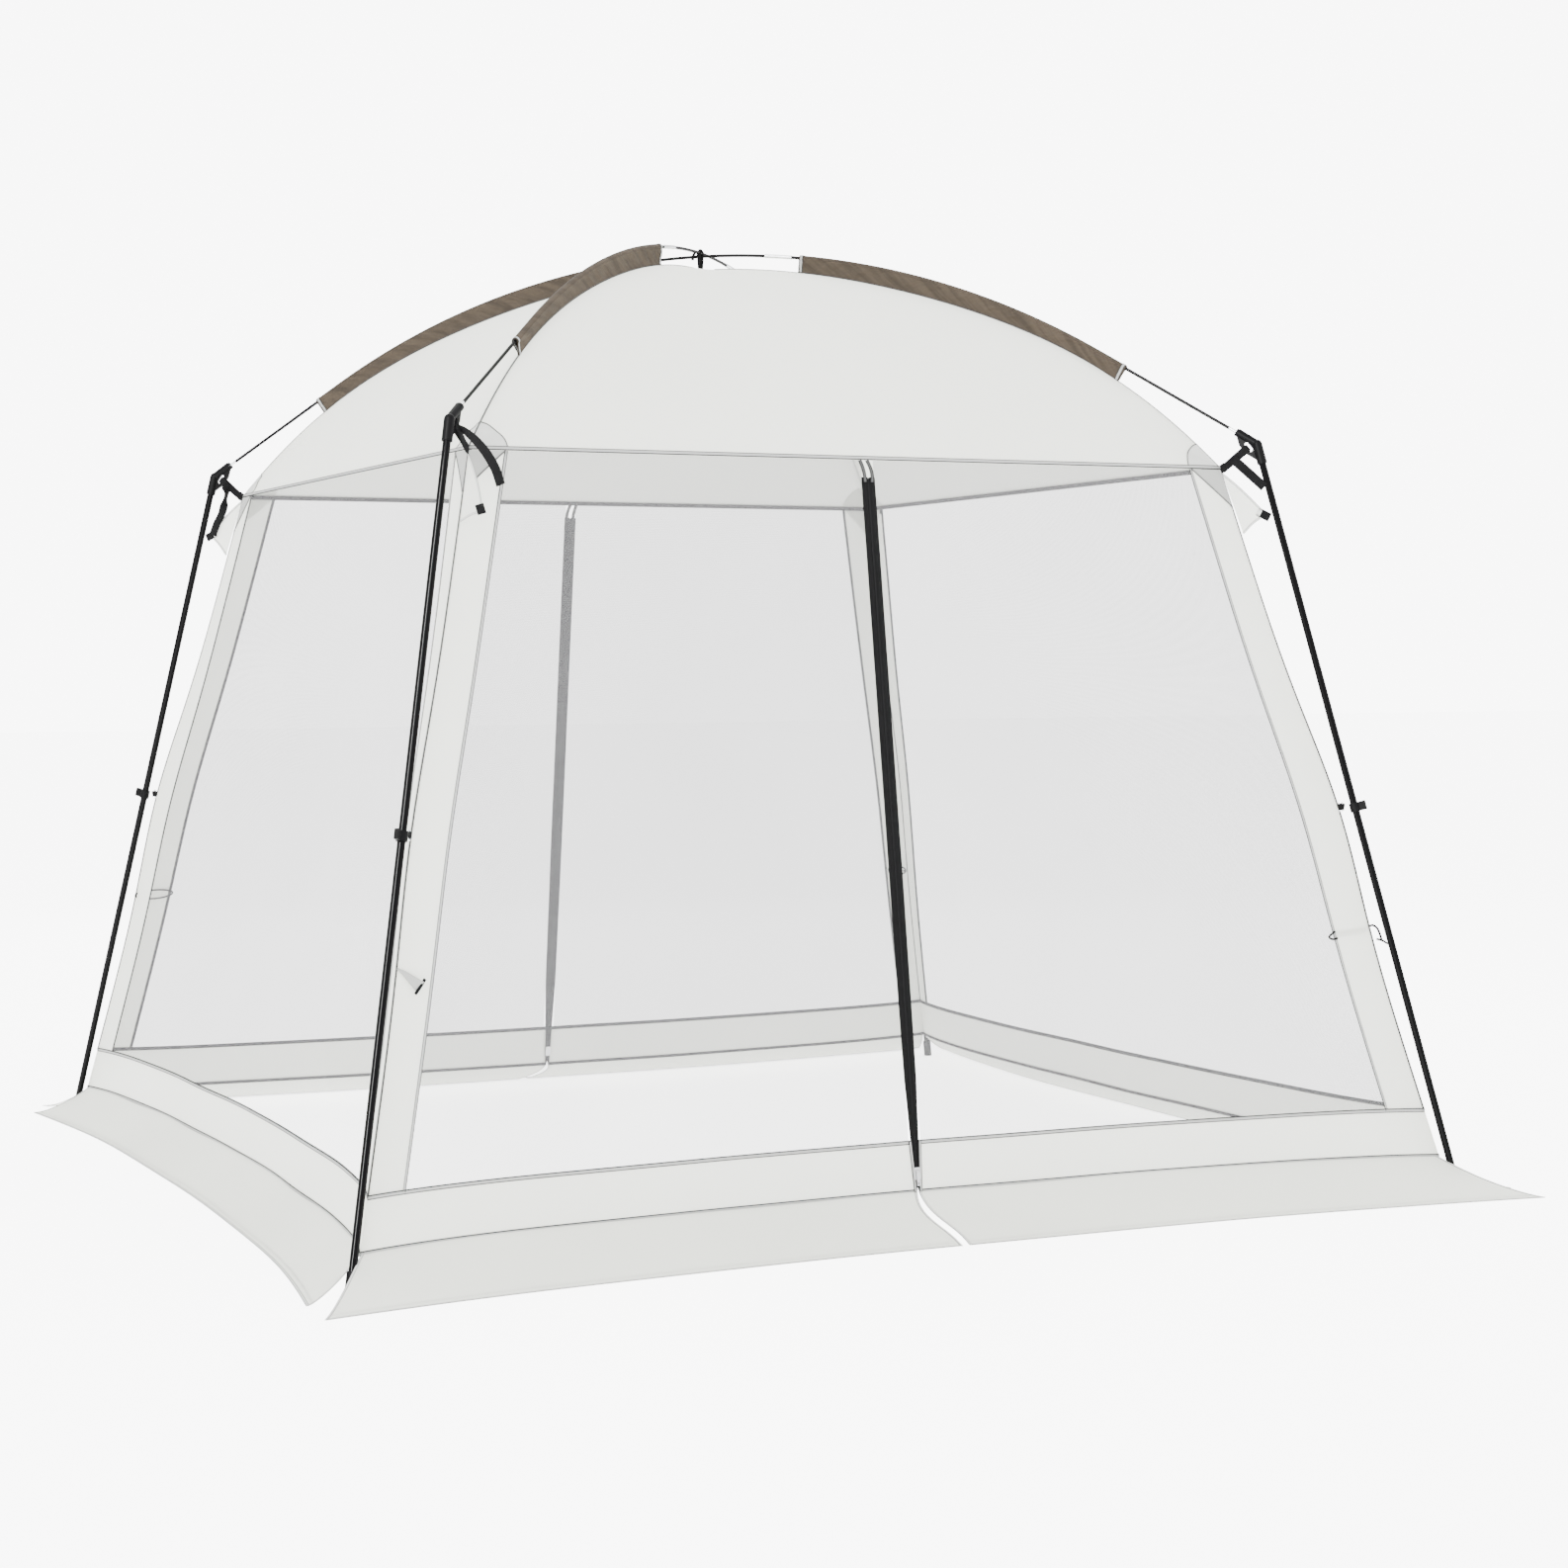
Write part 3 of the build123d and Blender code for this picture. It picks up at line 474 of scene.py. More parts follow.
class Bundle:
    """Collects strips, tubes and patches that make one piece."""

    def __init__(self):
        self.points, self.faces, self.uv, self.count = [], [], [], 0

    def add(self, points, faces, uv):
        self.points.append(np.asarray(points, float).reshape(-1, 3))
        self.faces += [tuple(i + self.count for i in f) for f in faces]
        self.uv.append(np.asarray(uv, float).reshape(-1, 2))
        self.count += len(self.points[-1])

    def skin(self, rings, path, across):
        """Joins the rings of points along a path, and closes both ends."""
        count, sides = rings.shape[:2]
        along = np.broadcast_to(distances(path)[:, None], (count, sides))
        faces = grid_faces(count, sides, ring=True)
        faces += [tuple(range(sides))[::-1], tuple((count - 1) * sides + k for k in range(sides))]
        self.add(rings, faces, np.stack([along, np.broadcast_to(across, (count, sides))], axis=-1))

    def strip(self, path, side, width, thickness):
        """A flat strip with rounded edges along a path; side points across it at each place."""
        path = np.asarray(path, float)
        forward = unit(np.gradient(path, axis=0))
        side = square_to(side, forward)
        normal = np.cross(forward, side)
        width = np.broadcast_to(width, len(path))[:, None]
        rings = [path + side * width * a / 2 + normal * (b * thickness / 2) for a, b in STRIP_RING]
        self.skin(np.stack(rings, axis=1), path, [a for a, b in STRIP_RING])

    def tube(self, path, radius, sides=12, squash=1.0, up=UP):
        """A round or flattened tube along a path."""
        path = np.asarray(path, float)
        forward = unit(np.gradient(path, axis=0))
        side = unit(np.cross(np.broadcast_to(up, path.shape), forward))
        over = np.cross(forward, side)
        radius = np.broadcast_to(radius, len(path))[:, None]
        turns = np.linspace(0, 2 * math.pi, sides, endpoint=False)
        rings = [path + radius * (math.cos(t) * side + squash * math.sin(t) * over) for t in turns]
        self.skin(np.stack(rings, axis=1), path, np.abs(turns - math.pi) / math.pi)

    def patch(self, grid):
        self.add(grid, grid_faces(*grid.shape[:2]), cloth_uv(grid))

    def build(self, name, material):
        """Makes the piece in one of the named materials."""
        return build_object(name, np.vstack(self.points), self.faces, np.vstack(self.uv), MATERIALS[material])


# ---- the walls' shape
def placed(angle, out, across, z):
    """Points from their distance out from the middle, their distance across and their height."""
    out, across, z = (np.asarray(value, float)[..., None] for value in (out, across, z))
    return out * heading(angle) + across * heading(angle + 90) + z * UP


def corner_half(z):
    """Half the width of the walls at a height."""
    return EAVE_HALF + (EAVE_Z - z) * SPREAD


def corner_walls(angle):
    """The two walls that meet at a corner, and on which side of each the corner is."""
    return (angle - 45, 1), (angle + 45, -1)


def ripple(angle, across, z):
    """Small soft waves of a slack sheet, in metres."""
    first = np.sin(across * 5.1 + z * 3.3 + angle * 0.7) * np.sin(z * 4.7 + across * 1.9 + angle)
    second = np.sin(across * 11.0 - z * 6.1 + angle * 1.3)
    return 0.004 * first + 0.0012 * second


def wall_out(angle, z, share):
    """How far out a wall stands: it bows in between its corners, and more so lower down."""
    bow = (FRONT_BOW if angle in DOOR_WALLS else SIDE_BOW) * (EAVE_Z - z)
    return corner_half(z) - bow * (1 - 0.64 * share**2 - 0.36 * share**9)


def wall_points(angle, z, across, lift=0.0):
    """Places on a wall, which ripples a little and is pulled out by the clips at its corners."""
    z, across = np.broadcast_arrays(np.asarray(z, float), np.asarray(across, float))
    corner = corner_half(z)
    share = np.clip(np.abs(across) / corner, 0, 1)
    near = np.clip((np.abs(across) - corner + 0.40) / 0.40, 0, 1) ** 2
    pull = CLIP_PULL * np.exp(-(((z - CLIP_Z) / 0.30) ** 2)) * near
    slack = (1 - share**4) * np.clip((EAVE_Z - z) / 0.4, 0, 1)
    if angle in DOOR_WALLS:
        slack = slack * np.clip(np.abs(across) / 0.15, 0, 1)
    out = wall_out(angle, z, share) + pull + lift + slack * ripple(angle, across, z)
    return placed(angle, out, across + np.sign(across) * pull, z)


def wall_span(side, z, gap, inset=0.0):
    """Where a wall, or one half of a door, starts and ends across at a height."""
    reach = corner_half(z) - inset
    return (side * gap, side * reach) if side else (-reach, reach)


def wall_grid(angle, z_rows, columns, span):
    """A grid of points of a wall; span gives its two ends across the wall at a height."""
    return np.array([wall_points(angle, z, np.linspace(*span(z), columns)) for z in z_rows])


def band_gap(z):
    """Half the gap between a door's two bands, which close over the zip towards its foot."""
    return 0.0042 + 0.0062 * np.clip((z - SEAM_Z) / (BAND_Z - SEAM_Z), 0, 1)


def skirt_points(wall, fall, along, side, lift=0.0):
    """Places on a skirt: fall runs from 0 at its seam to 1 on the ground."""
    angle = WALLS[wall]
    foot_end, corner_out, middle_out = SKIRT_FEET[wall]
    fall, along = np.broadcast_arrays(np.asarray(fall, float), np.asarray(along, float))
    if side:
        gap = 0.0050 + 0.0135 * np.sin(np.clip(fall * 1.5, 0, 1) * math.pi / 2) * (1 - 0.45 * fall)
        swing = (-0.018 * fall - 0.009 * np.sin(fall * math.pi * 2)) * (1 - along) ** 3
        top, foot = (side * (gap + (end - gap) * along) + swing for end in (SKIRT_TOP_END, foot_end))
    else:
        top, foot = (end * (2 * along - 1) for end in (SKIRT_TOP_END, foot_end))
    across = top + (foot - top) * fall
    top_out = wall_out(angle, SEAM_Z, np.clip(np.abs(top) / corner_half(SEAM_Z), 0, 1))
    foot_out = middle_out + (corner_out - middle_out) * (np.abs(foot) / foot_end) ** 2.6
    drop = 1 - (1 - fall) ** 1.55
    wave = 0.006 * np.sin(across * 6.3 + angle) * np.sin(fall * math.pi * 0.8)
    out = top_out + (foot_out - top_out) * fall**1.06 + wave * 0.5 + lift * (1 - 0.4 * fall)
    z = SEAM_Z + (SKIRT_FOOT_Z - SEAM_Z) * drop + np.abs(wave) * 0.5 * (1 - fall) + lift * 0.7 * fall
    return placed(angle, out, across, z)


def bend_door(piece):
    """Bakes a door piece's placement into its mesh and reads its points; nothing is bent."""
    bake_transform(piece)
    points = np.zeros(len(piece.data.vertices) * 3)
    piece.data.vertices.foreach_get("co", points)


def finish_piece(piece, slot, *replaced, body=ROOT, door=None):
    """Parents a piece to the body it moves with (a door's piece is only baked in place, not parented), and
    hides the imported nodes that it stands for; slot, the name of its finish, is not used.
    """
    if door:
        bend_door(piece)
    else:
        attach(piece, body)
    if replaced:
        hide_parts(*replaced)
    return piece


# ---- canopy
def profile_height(out):
    """The canopy's height over a distance out from the middle."""
    outs, heights = (np.array(v) for v in zip(*PROFILE))
    powers = (0, 2, 4, 6, 8)
    terms = np.stack([(outs / EAVE_HALF) ** p for p in powers], axis=1)
    share = np.linalg.solve(terms, heights)
    return sum(share[k] * (np.asarray(out, float) / EAVE_HALF) ** p for k, p in enumerate(powers))


def canopy_points(angle, out, across, lift=0.0):
    """Places on a roof gore: arched from eave to crown, and a little slack between its hips."""
    out, across = np.broadcast_arrays(np.asarray(out, float), np.asarray(across, float))
    share = np.clip(np.abs(across) / np.maximum(out, 1e-6), 0, 1)
    climb = out / EAVE_HALF
    sag = 0.016 * (1 - share**2) * np.sin(math.pi * np.clip(climb, 0, 1)) ** 0.8
    to_corner = np.hypot(EAVE_HALF - out, EAVE_HALF - np.abs(across))
    fan = np.arctan2(EAVE_HALF - out, EAVE_HALF - np.abs(across) + 1e-6)
    begun = np.sin(np.clip(to_corner / 0.06, 0, 1) * math.pi / 2)
    pleats = 0.0035 * np.exp(-to_corner / 0.28) * np.sin(fan * 13 + angle) * begun
    pleats = pleats * np.sin(np.clip((1 - climb) / 0.03, 0, 1) * math.pi / 2) * (1 - share**30)
    waves = np.sin(across * 6.0 + out * 4.0 + angle)
    drape = 0.0025 * (1 - share**6) * waves * np.clip((1 - climb) / 0.15, 0, 1) * climb
    slope = (profile_height(out + 0.002) - profile_height(out - 0.002)) / 0.004
    move = (lift - sag + pleats + drape) / np.hypot(1, slope)
    return placed(angle, out - move * slope, across, profile_height(out) + move)


def canopy():
    """One continuous sheet of four gores that share their hips and the crown."""
    rings, steps = 56, 48
    around = 4 * steps
    points, uv = [canopy_points(270, 0.0, 0.0)], [(0, 0)]
    outs = np.sin(np.linspace(0, math.pi / 2, rings + 1)[1:]) ** 0.92 * EAVE_HALF
    for out in outs:
        for angle in (270, 0, 90, 180):
            across = np.linspace(-1, 1, steps + 1)[:-1] * out
            points += list(canopy_points(angle, out, across))
            drop = np.hypot(out, profile_height(0) - profile_height(out))
            uv += [(a + angle * 0.1, drop) for a in across]
    faces = [(0, 1 + k, 1 + (k + 1) % around) for k in range(around)]
    for base in range(1, 1 + (rings - 1) * around, around):
        for k in range(around):
            after = (k + 1) % around
            faces.append((base + k, base + around + k, base + around + after, base + after))
    piece = build_object("canopy", points, faces, uv, MATERIALS["canopy_cloth"])
    finish_piece(piece, "off_white_cloth", *[f"canopy_{wall}" for wall in WALLS])


def corner_patch(roof, wall, seams, wall_angle, sign):
    """The doubled cloth on one side of a corner, on the roof and on the wall, with their seams."""
    down, along = np.meshgrid(np.linspace(0, 1, 14), np.linspace(0, 1, 14), indexing="ij")
    fall, width = ROOF_PATCH
    outs = EAVE_HALF - down * fall
    ends = outs - along * np.maximum(width * (1 - down) ** 0.8 * (1 + 0.35 * down), 0.0005)
    roof.patch(canopy_points(wall_angle, outs, sign * ends, 0.0016))
    edge = canopy_points(wall_angle, outs[:, -1], sign * ends[:, -1], 0.0020)
    seams.strip(edge, heading(wall_angle + 90), 0.0030, 0.0014)
    z = WALL_TOP_Z - down * WALL_PATCH_FALL
    half = corner_half(z) - 0.001
    wide = np.maximum((WING - 0.004) * (1 - down) ** 1.05, 0.0006)
    wall.patch(wall_points(wall_angle, z, sign * (half - along * wide), 0.0016))
    edge = wall_points(wall_angle, z[:, -1], sign * (half - wide)[:, -1], 0.0020)
    seams.strip(edge, UP, 0.0035, 0.0014)


def hip_lines_and_patches():
    """The sewn hips, the doubled corners of the roof and walls, and the eave's bindings."""
    hips, roof, wall, seams, eave, under_eave = (Bundle() for _ in range(6))
    for angle in CORNERS.values():
        out = np.linspace(0.03, EAVE_HALF, 60)
        hips.strip(canopy_points(angle - 45, out, out, 0.0008), heading(angle + 90), 0.0050, 0.0016)
        for wall_angle, sign in corner_walls(angle):
            corner_patch(roof, wall, seams, wall_angle, sign)
    for angle in WALLS.values():
        across = np.linspace(-EAVE_HALF, EAVE_HALF, 60)
        eave.strip(wall_points(angle, EAVE_Z, across, 0.001), UP - heading(angle) * 0.4, 0.0115, 0.003)
    for angle in (WALLS["back"], WALLS["right"]):
        across = np.linspace(-1, 1, 60) * (EAVE_HALF - 0.0045)
        under_eave.strip(wall_points(angle, UNDER_EAVE_Z, across, -0.0046), UP, 0.0120, 0.0014)
    for name, bundle, material in (
        ("under_eave_binding", under_eave, "inner_binding"),
        ("hip_seams", hips, "thin_binding"),
        ("roof_corner_patches", roof, "roof_patch_painted_shade"),
        ("wall_corner_patches", wall, "patch"),
        ("corner_patch_seams", seams, "thin_binding"),
        ("eave_binding", eave, "binding"),
    ):
        finish_piece(bundle.build(name, material), "off_white_cloth")


# ---- walls
def corner_panels():
    """The L-shaped panels of cloth at the corners, with their seams, and dark strips along the folded corner
    line and just inside it that paint the fold's shade.
    """
    rise = np.linspace(WALL_TOP_Z, BAND_Z, 90)
    for name, angle in CORNERS.items():
        rows = []
        for z in rise:
            half = corner_half(z)
            first = wall_points(angle - 45, z, np.linspace(half - WING, half, 12))
            second = wall_points(angle + 45, z, -np.linspace(half, half - WING, 12)[1:])
            rows.append(np.vstack([first, second]))
        piece = sheet_object(f"corner_panel_cloth_{name}", np.array(rows), MATERIALS["cloth"])
        finish_piece(piece, "off_white_cloth", f"corner_panel_{name}")
        seams, folds, inner = Bundle(), Bundle(), Bundle()
        for wall_angle, sign in corner_walls(angle):
            across, sideways = sign * (corner_half(rise) - WING), heading(wall_angle + 90)
            seams.strip(wall_points(wall_angle, rise, across), sideways, 0.009, BINDING_THICKNESS)
            seen_through_net = (name, wall_angle) == ("back_right", 0)
            inner_width = 0.0085 if seen_through_net else 0.0050
            inner.strip(wall_points(wall_angle, rise, across, -0.0022), sideways, inner_width, 0.0014)
        # painted shade: a thin dark strip along the fold of the corner line, and another dark strip just
        # inside it
        fold = wall_points(angle - 45, rise, corner_half(rise))
        folds.strip(fold, heading(angle + 90), 0.0036, 0.0022)
        inner.strip(fold - heading(angle) * 0.0024, heading(angle + 90), 0.0036, 0.0016)
        for part, bundle, material in (
            ("seams", seams, "binding"),
            ("fold", folds, "thin_binding"),
            ("inner_seams", inner, "inner_binding"),
        ):
            finish_piece(bundle.build(f"corner_{part}_{name}", material), "off_white_cloth")


def wall_panel(wall, name, side):
    """The net, band and skirt of a wall, or of one half of a door, with their bindings."""
    angle = WALLS[wall]
    door = name if side else None
    columns = 40 if side else 70
    grid = wall_grid(
        angle, np.linspace(WALL_TOP_Z, BAND_Z, 64), columns,
        lambda z: wall_span(side, z, DOOR_INNER, WING))
    piece = sheet_object(f"net_{name}", grid, MATERIALS["net" if side else "side_net"])
    finish_piece(piece, "grey_mesh", f"mesh_{name}", door=door)
    grid = wall_grid(
        angle, np.linspace(BAND_Z, SEAM_Z, 8), columns + 14,
        lambda z: wall_span(side, z, band_gap(z)))
    piece = sheet_object(f"band_{name}", grid, MATERIALS["cloth"])
    finish_piece(piece, "off_white_cloth", f"band_and_skirt_{name}", door=door)
    fall, along = np.meshgrid(np.linspace(0, 1, 16), np.linspace(0, 1, columns + 14), indexing="ij")
    piece = sheet_object(f"skirt_{name}", skirt_points(wall, fall, along, side), MATERIALS["shaded_skirt_cloth"])
    finish_piece(piece, "off_white_cloth", f"band_and_skirt_{name}", door=door)
    wall_bindings(wall, name, side, door)


def wall_bindings(wall, name, side, door):
    """The bindings inside and outside a band, and the hems of its skirt."""
    angle = WALLS[wall]
    sideways = heading(angle + 90)
    seams, hem, inner = Bundle(), Bundle(), Bundle()
    for z, inner_width in ((BAND_Z, 0.0105), (SEAM_Z, 0.0075)):
        first, last = wall_span(side, z, band_gap(z))
        path = wall_points(angle, z, np.linspace(first, last, 110), 0.0004)
        seams.strip(path, UP, BINDING, BINDING_THICKNESS)
        path = wall_points(angle, z, np.linspace(first, last * 0.998, 110), -0.0026)
        inner.strip(path, UP, inner_width, 0.0014)
    along, down = np.linspace(0, 1, 110), np.linspace(0, 1, 30)
    hem.strip(skirt_points(wall, 0.985, along, side), heading(angle) * 0.9 - UP * 0.1, 0.008, 0.0022)
    for end in (1.0,) if side else (0.0, 1.0):
        hem.strip(skirt_points(wall, down, end, side), sideways, 0.006, 0.002)
    if side:
        rise = np.linspace(BAND_Z + 0.003, SEAM_Z, 30)
        path = wall_points(angle, rise, side * (band_gap(rise) + 0.003), 0.0028)
        seams.strip(path, sideways, 0.0085, 0.0022)
        hem.strip(skirt_points(wall, down, 0.0, side), sideways, 0.007, 0.0022)
    inner.strip(skirt_points(wall, 0.90, along, side, -0.0015), heading(angle), 0.0030, 0.0012)
    if wall == "back":
        path = skirt_points(wall, 0.92, along, side, -0.0016)
        inner.strip(path, heading(angle) - UP * 0.14, 0.024, 0.0012)
    for start, bundle, material in (
        ("inner_binding", inner, "inner_binding"), ("band_binding", seams, "binding"), ("hems", hem, "hem"),
    ):
        finish_piece(bundle.build(f"{start}_{name}", material), "off_white_cloth", door=door)


def zip_tapes():
    """The two woven tapes of each zip, with their coils."""
    rise = np.linspace(ZIP_FOOT_Z, TAPE_TOP_Z, 60)
    heights = [ZIP_FOOT_Z, BAND_Z, 0.36, 0.80, TAPE_TOP_Z]
    outer = np.interp(rise, heights, [0.0075, 0.0112, 0.0170, TAPE_WIDEST, TAPE_WIDEST])
    teeth = np.linspace(ZIP_FOOT_Z + 0.006, TAPE_TOP_Z - 0.003, 1420)
    for name, (angle, side) in DOORS.items():
        body = f"{name}_door_edge"
        tape, coil = Bundle(), Bundle()
        path = wall_points(angle, rise, side * (TAPE_INNER + outer) / 2, 0.0006)
        tape.strip(path, heading(angle + 90), outer - TAPE_INNER, 0.0016)
        piece = tape.build(f"tape_{name}", "tape")
        finish_piece(piece, "black_zip_tape", f"zip_tape_{name}", body=body)
        offset = 0 if side > 0 else math.pi
        swell = 0.0015 + 0.0003 * np.cos(np.arange(len(teeth)) * math.pi / 2 + offset)
        coil.tube(wall_points(angle, teeth, side * COIL_ACROSS, 0.0012), swell, sides=6)
        finish_piece(coil.build(f"coil_{name}", "coil"), "black_zip_tape", body=body)


def zip_tails():
    """The loose tails of the tapes above each zip's top stop."""
    for wall in ("front", "back"):
        tails = Bundle()
        for sign in (-1, 1):
            control = []
            for share in np.linspace(0, 1, 6):
                z = WALL_TOP_Z + (TAIL_FOOT_Z - WALL_TOP_Z) * share
                sway = -0.011 * (1 - share) ** 1.8 * math.cos(share * 1.2)
                belly = math.sin(share * math.pi)
                across = sign * (0.0098 + 0.0010 * belly) + sway
                control.append(wall_points(WALLS[wall], z, across, 0.003 + 0.003 * belly))
            tails.strip(smooth_path(control, 24), heading(WALLS[wall] + 90), 0.0105, 0.0012)
        finish_piece(tails.build(f"zip_tails_{wall}", "tail"), "black_zip_tape")


# ---- sleeves on the poles
def arc_end(crown):
    """Where the arc of a pole meets its straight end, as the distance from the middle and the height."""
    sine, cosine = (share / math.hypot(1, POLE_SLOPE) for share in (POLE_SLOPE, 1))
    drop = crown - POLE_MOUTH_Z
    # the arc drops radius * (1 - cosine), and the straight end drops the rest to the hub's mouth
    radius = (POLE_SLOPE * POLE_MOUTH_R - drop) / (POLE_SLOPE * sine - (1 - cosine))
    return radius * sine, crown - radius * (1 - cosine)


def pole_height(r, crown):
    """The pole's height at a distance from the middle: an arc, then straight into the hub."""
    end_r, end_z = arc_end(crown)
    radius = end_r / (POLE_SLOPE / math.hypot(1, POLE_SLOPE))
    arc = crown - radius + np.sqrt(np.maximum(radius**2 - np.minimum(r, end_r) ** 2, 0))
    return np.where(r <= end_r, arc, end_z - POLE_SLOPE * (r - end_r))


def fin_fold(r, fall, angle):
    """The slanting folds of a sleeve's fin, in metres to the side."""
    slant = r / 0.074 + fall * 0.95
    fold = np.sin(2 * math.pi * slant + 1.6 * np.sin(r * 19 + angle))
    fold = fold + 0.5 * np.sin(4.4 * math.pi * slant + r * 31)
    return fold * np.sin(math.pi * min(1.0, fall * 1.02)) * 0.0014


def sleeve_grid(r, top, angle):
    """A sleeve's points: up one side of its fin, round the pole and down the fin's other side."""
    hip = profile_height(r / math.sqrt(2)) + 0.0006
    slope = np.gradient(top, r)
    normal = np.stack([-slope, np.ones_like(slope)], axis=1) / np.hypot(1, slope)[:, None]
    depth = (top - hip) * normal[:, 1]
    falls = np.linspace(0, 1, 14)
    turns = np.linspace(0, math.pi, 13)
    lines = []
    for side in (-1, 1):
        wide = [SLEEVE_POCKET * (1 - fall) ** 1.6 + 0.0011 for fall in falls]
        lines.append([(side * w + fin_fold(r, f, angle), -f * depth) for w, f in zip(wide, falls)])
    arch = [(-SLEEVE_POCKET * math.cos(t), SLEEVE_POCKET * math.sin(t)) for t in turns]
    pole = r[:, None] * heading(angle) + top[:, None] * UP
    lift = normal[:, :1] * heading(angle) + normal[:, 1:] * UP
    grid = []
    for across, rise in lines[0][::-1] + arch + lines[1]:
        rise = np.broadcast_to(rise, r.shape)[:, None]
        across = np.broadcast_to(across, r.shape)[:, None]
        grid.append(pole + rise * lift + across * heading(angle + 90))
    return np.array(grid)


def sleeves():
    """Cloth sleeves: a round pocket over the pole that narrows to a flat fin sewn to the hip."""
    for name, angle in CORNERS.items():
        crown = CROWNS[angle]
        low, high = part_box(f"pole_sleeve_{name}")
        reach = max(abs(low.x), abs(high.x), abs(low.y), abs(high.y)) * math.sqrt(2) - 0.006
        r = np.linspace(SLEEVE_START, reach, 260)
        top = pole_height(r, crown)
        grid = sleeve_grid(r, top, angle)
        piece = sheet_object(f"sleeve_{name}", grid, MATERIALS["sleeve"])
        finish_piece(piece, "brown_cloth", f"pole_sleeve_{name}")
        ends, foot = Bundle(), Bundle()
        for row in (2, len(r) - 3):
            centre = r[row] * heading(angle) + top[row] * UP
            loop = grid[:, row]
            outward = unit(loop - (loop.mean(0) * 0.5 + centre * 0.5))
            along_pole = np.gradient(grid[len(grid) // 2], axis=0)[row]
            ends.strip(loop + outward * 0.0006, along_pole, 0.0115, 0.0014)
        finish_piece(ends.build(f"sleeve_end_binding_{name}", "binding"), "brown_cloth")
        sewn = grid[0] * 0.5 + grid[-1] * 0.5 + UP * 0.002
        foot.strip(sewn, heading(angle + 90), 0.0045, 0.002)
        finish_piece(foot.build(f"sleeve_binding_{name}", "dark_binding"), "brown_cloth")


# ---- straps, flaps and ties
def corner_place(angle, r, z, beside=0.0):
    """A place near a corner, from the middle outwards, up, and beside the corner's plane."""
    return placed(angle, r, beside, z)


def twisted_strip(bundle, angle, rows, width, thickness, count=40):
    """A strip through rows of (r, z, beside, twist): twist 0 lies across the corner's plane."""
    smooth = smooth_path(rows, count)
    path = corner_place(angle, *smooth[:, :3].T)
    forward = unit(np.gradient(path, axis=0))
    flat = square_to(heading(angle + 90), forward)
    turn = np.radians(smooth[:, 3])[:, None]
    bundle.strip(path, np.cos(turn) * flat + np.sin(turn) * np.cross(forward, flat), width, thickness)


TUCKED_TAIL = [
    (1.528, 1.925, 0.007, 90), (1.541, 1.914, 0.009, 88), (1.560, 1.897, 0.010, 88),
    (1.583, 1.876, 0.010, 90), (1.612, 1.849, 0.010, 90),
]
STRAP_TAILS = {
    225: [
        (1.556, 1.952, 0.001, 20), (1.546, 1.942, 0.014, 10), (1.532, 1.922, 0.034, 2),
        (1.519, 1.890, 0.058, -2), (1.512, 1.852, 0.079, 0), (1.511, 1.812, 0.093, 2),
    ],
    315: [(r, z, -beside, twist) for r, z, beside, twist in TUCKED_TAIL],
    135: [
        (1.549, 1.940, 0.007, 90), (1.546, 1.930, 0.010, 60), (1.543, 1.915, 0.011, 6),
        (1.548, 1.893, 0.012, 2), (1.552, 1.874, 0.013, 50), (1.560, 1.850, 0.014, 84),
        (1.577, 1.820, 0.015, 84), (1.590, 1.788, 0.016, 88),
    ],
    45: TUCKED_TAIL,
}
FOLDED_FLAP = 225
FOLDED_FLAP_TURN = 62.0
FLAP_TOP = (1.497, 1.888)
FLAP_FOOT = (1.553, 1.728)
FLAP_TIPS = {FOLDED_FLAP: (1.612, 1.760), 315: (1.604, 1.786), 135: (1.597, 1.796), 45: (1.604, 1.786)}


def hub_strap(webbing, angle):
    """Two layers of webbing from a canopy corner through its hub's hole, and the free tail."""
    hole, line = np.array(HUB_HOLE), np.array(STRAP_LINE)
    start, split, end = (hole + line * reach for reach in STRAP_REACHES)
    for side in (-1, 1):
        rows = [(*start, side * STRAP_LAYER, 90), (*(start * 0.4 + split * 0.6), side * STRAP_LAYER, 90)]
        rows.append((*split, side * STRAP_SPLIT, 90))
        for share in (0.3, 0.65, 1.0):
            beside = STRAP_SPLIT + (STRAP_HALF - STRAP_SPLIT) * math.sin(share * math.pi / 2)
            rows.append((*(split * (1 - share) + end * share), side * beside, 90))
        twisted_strip(webbing, angle, rows, 0.0205, 0.0018)
    half = STRAP_HALF + 0.0008
    through = corner_place(angle, end[0] + 0.0016, end[1] + 0.0013, np.linspace(-half, half, 9))
    webbing.strip(through, heading(angle) * -STRAP_LINE[1] + UP * STRAP_LINE[0], 0.0190, 0.0018)
    twisted_strip(webbing, angle, STRAP_TAILS[angle], 0.0245, 0.0020, 60)
    sewn_box = [(start[0] - 0.016, start[1] - 0.008, 0, 90), (start[0] + 0.010, start[1] + 0.010, 0, 90)]
    twisted_strip(webbing, angle, sewn_box, 0.0220, 0.0046, 6)


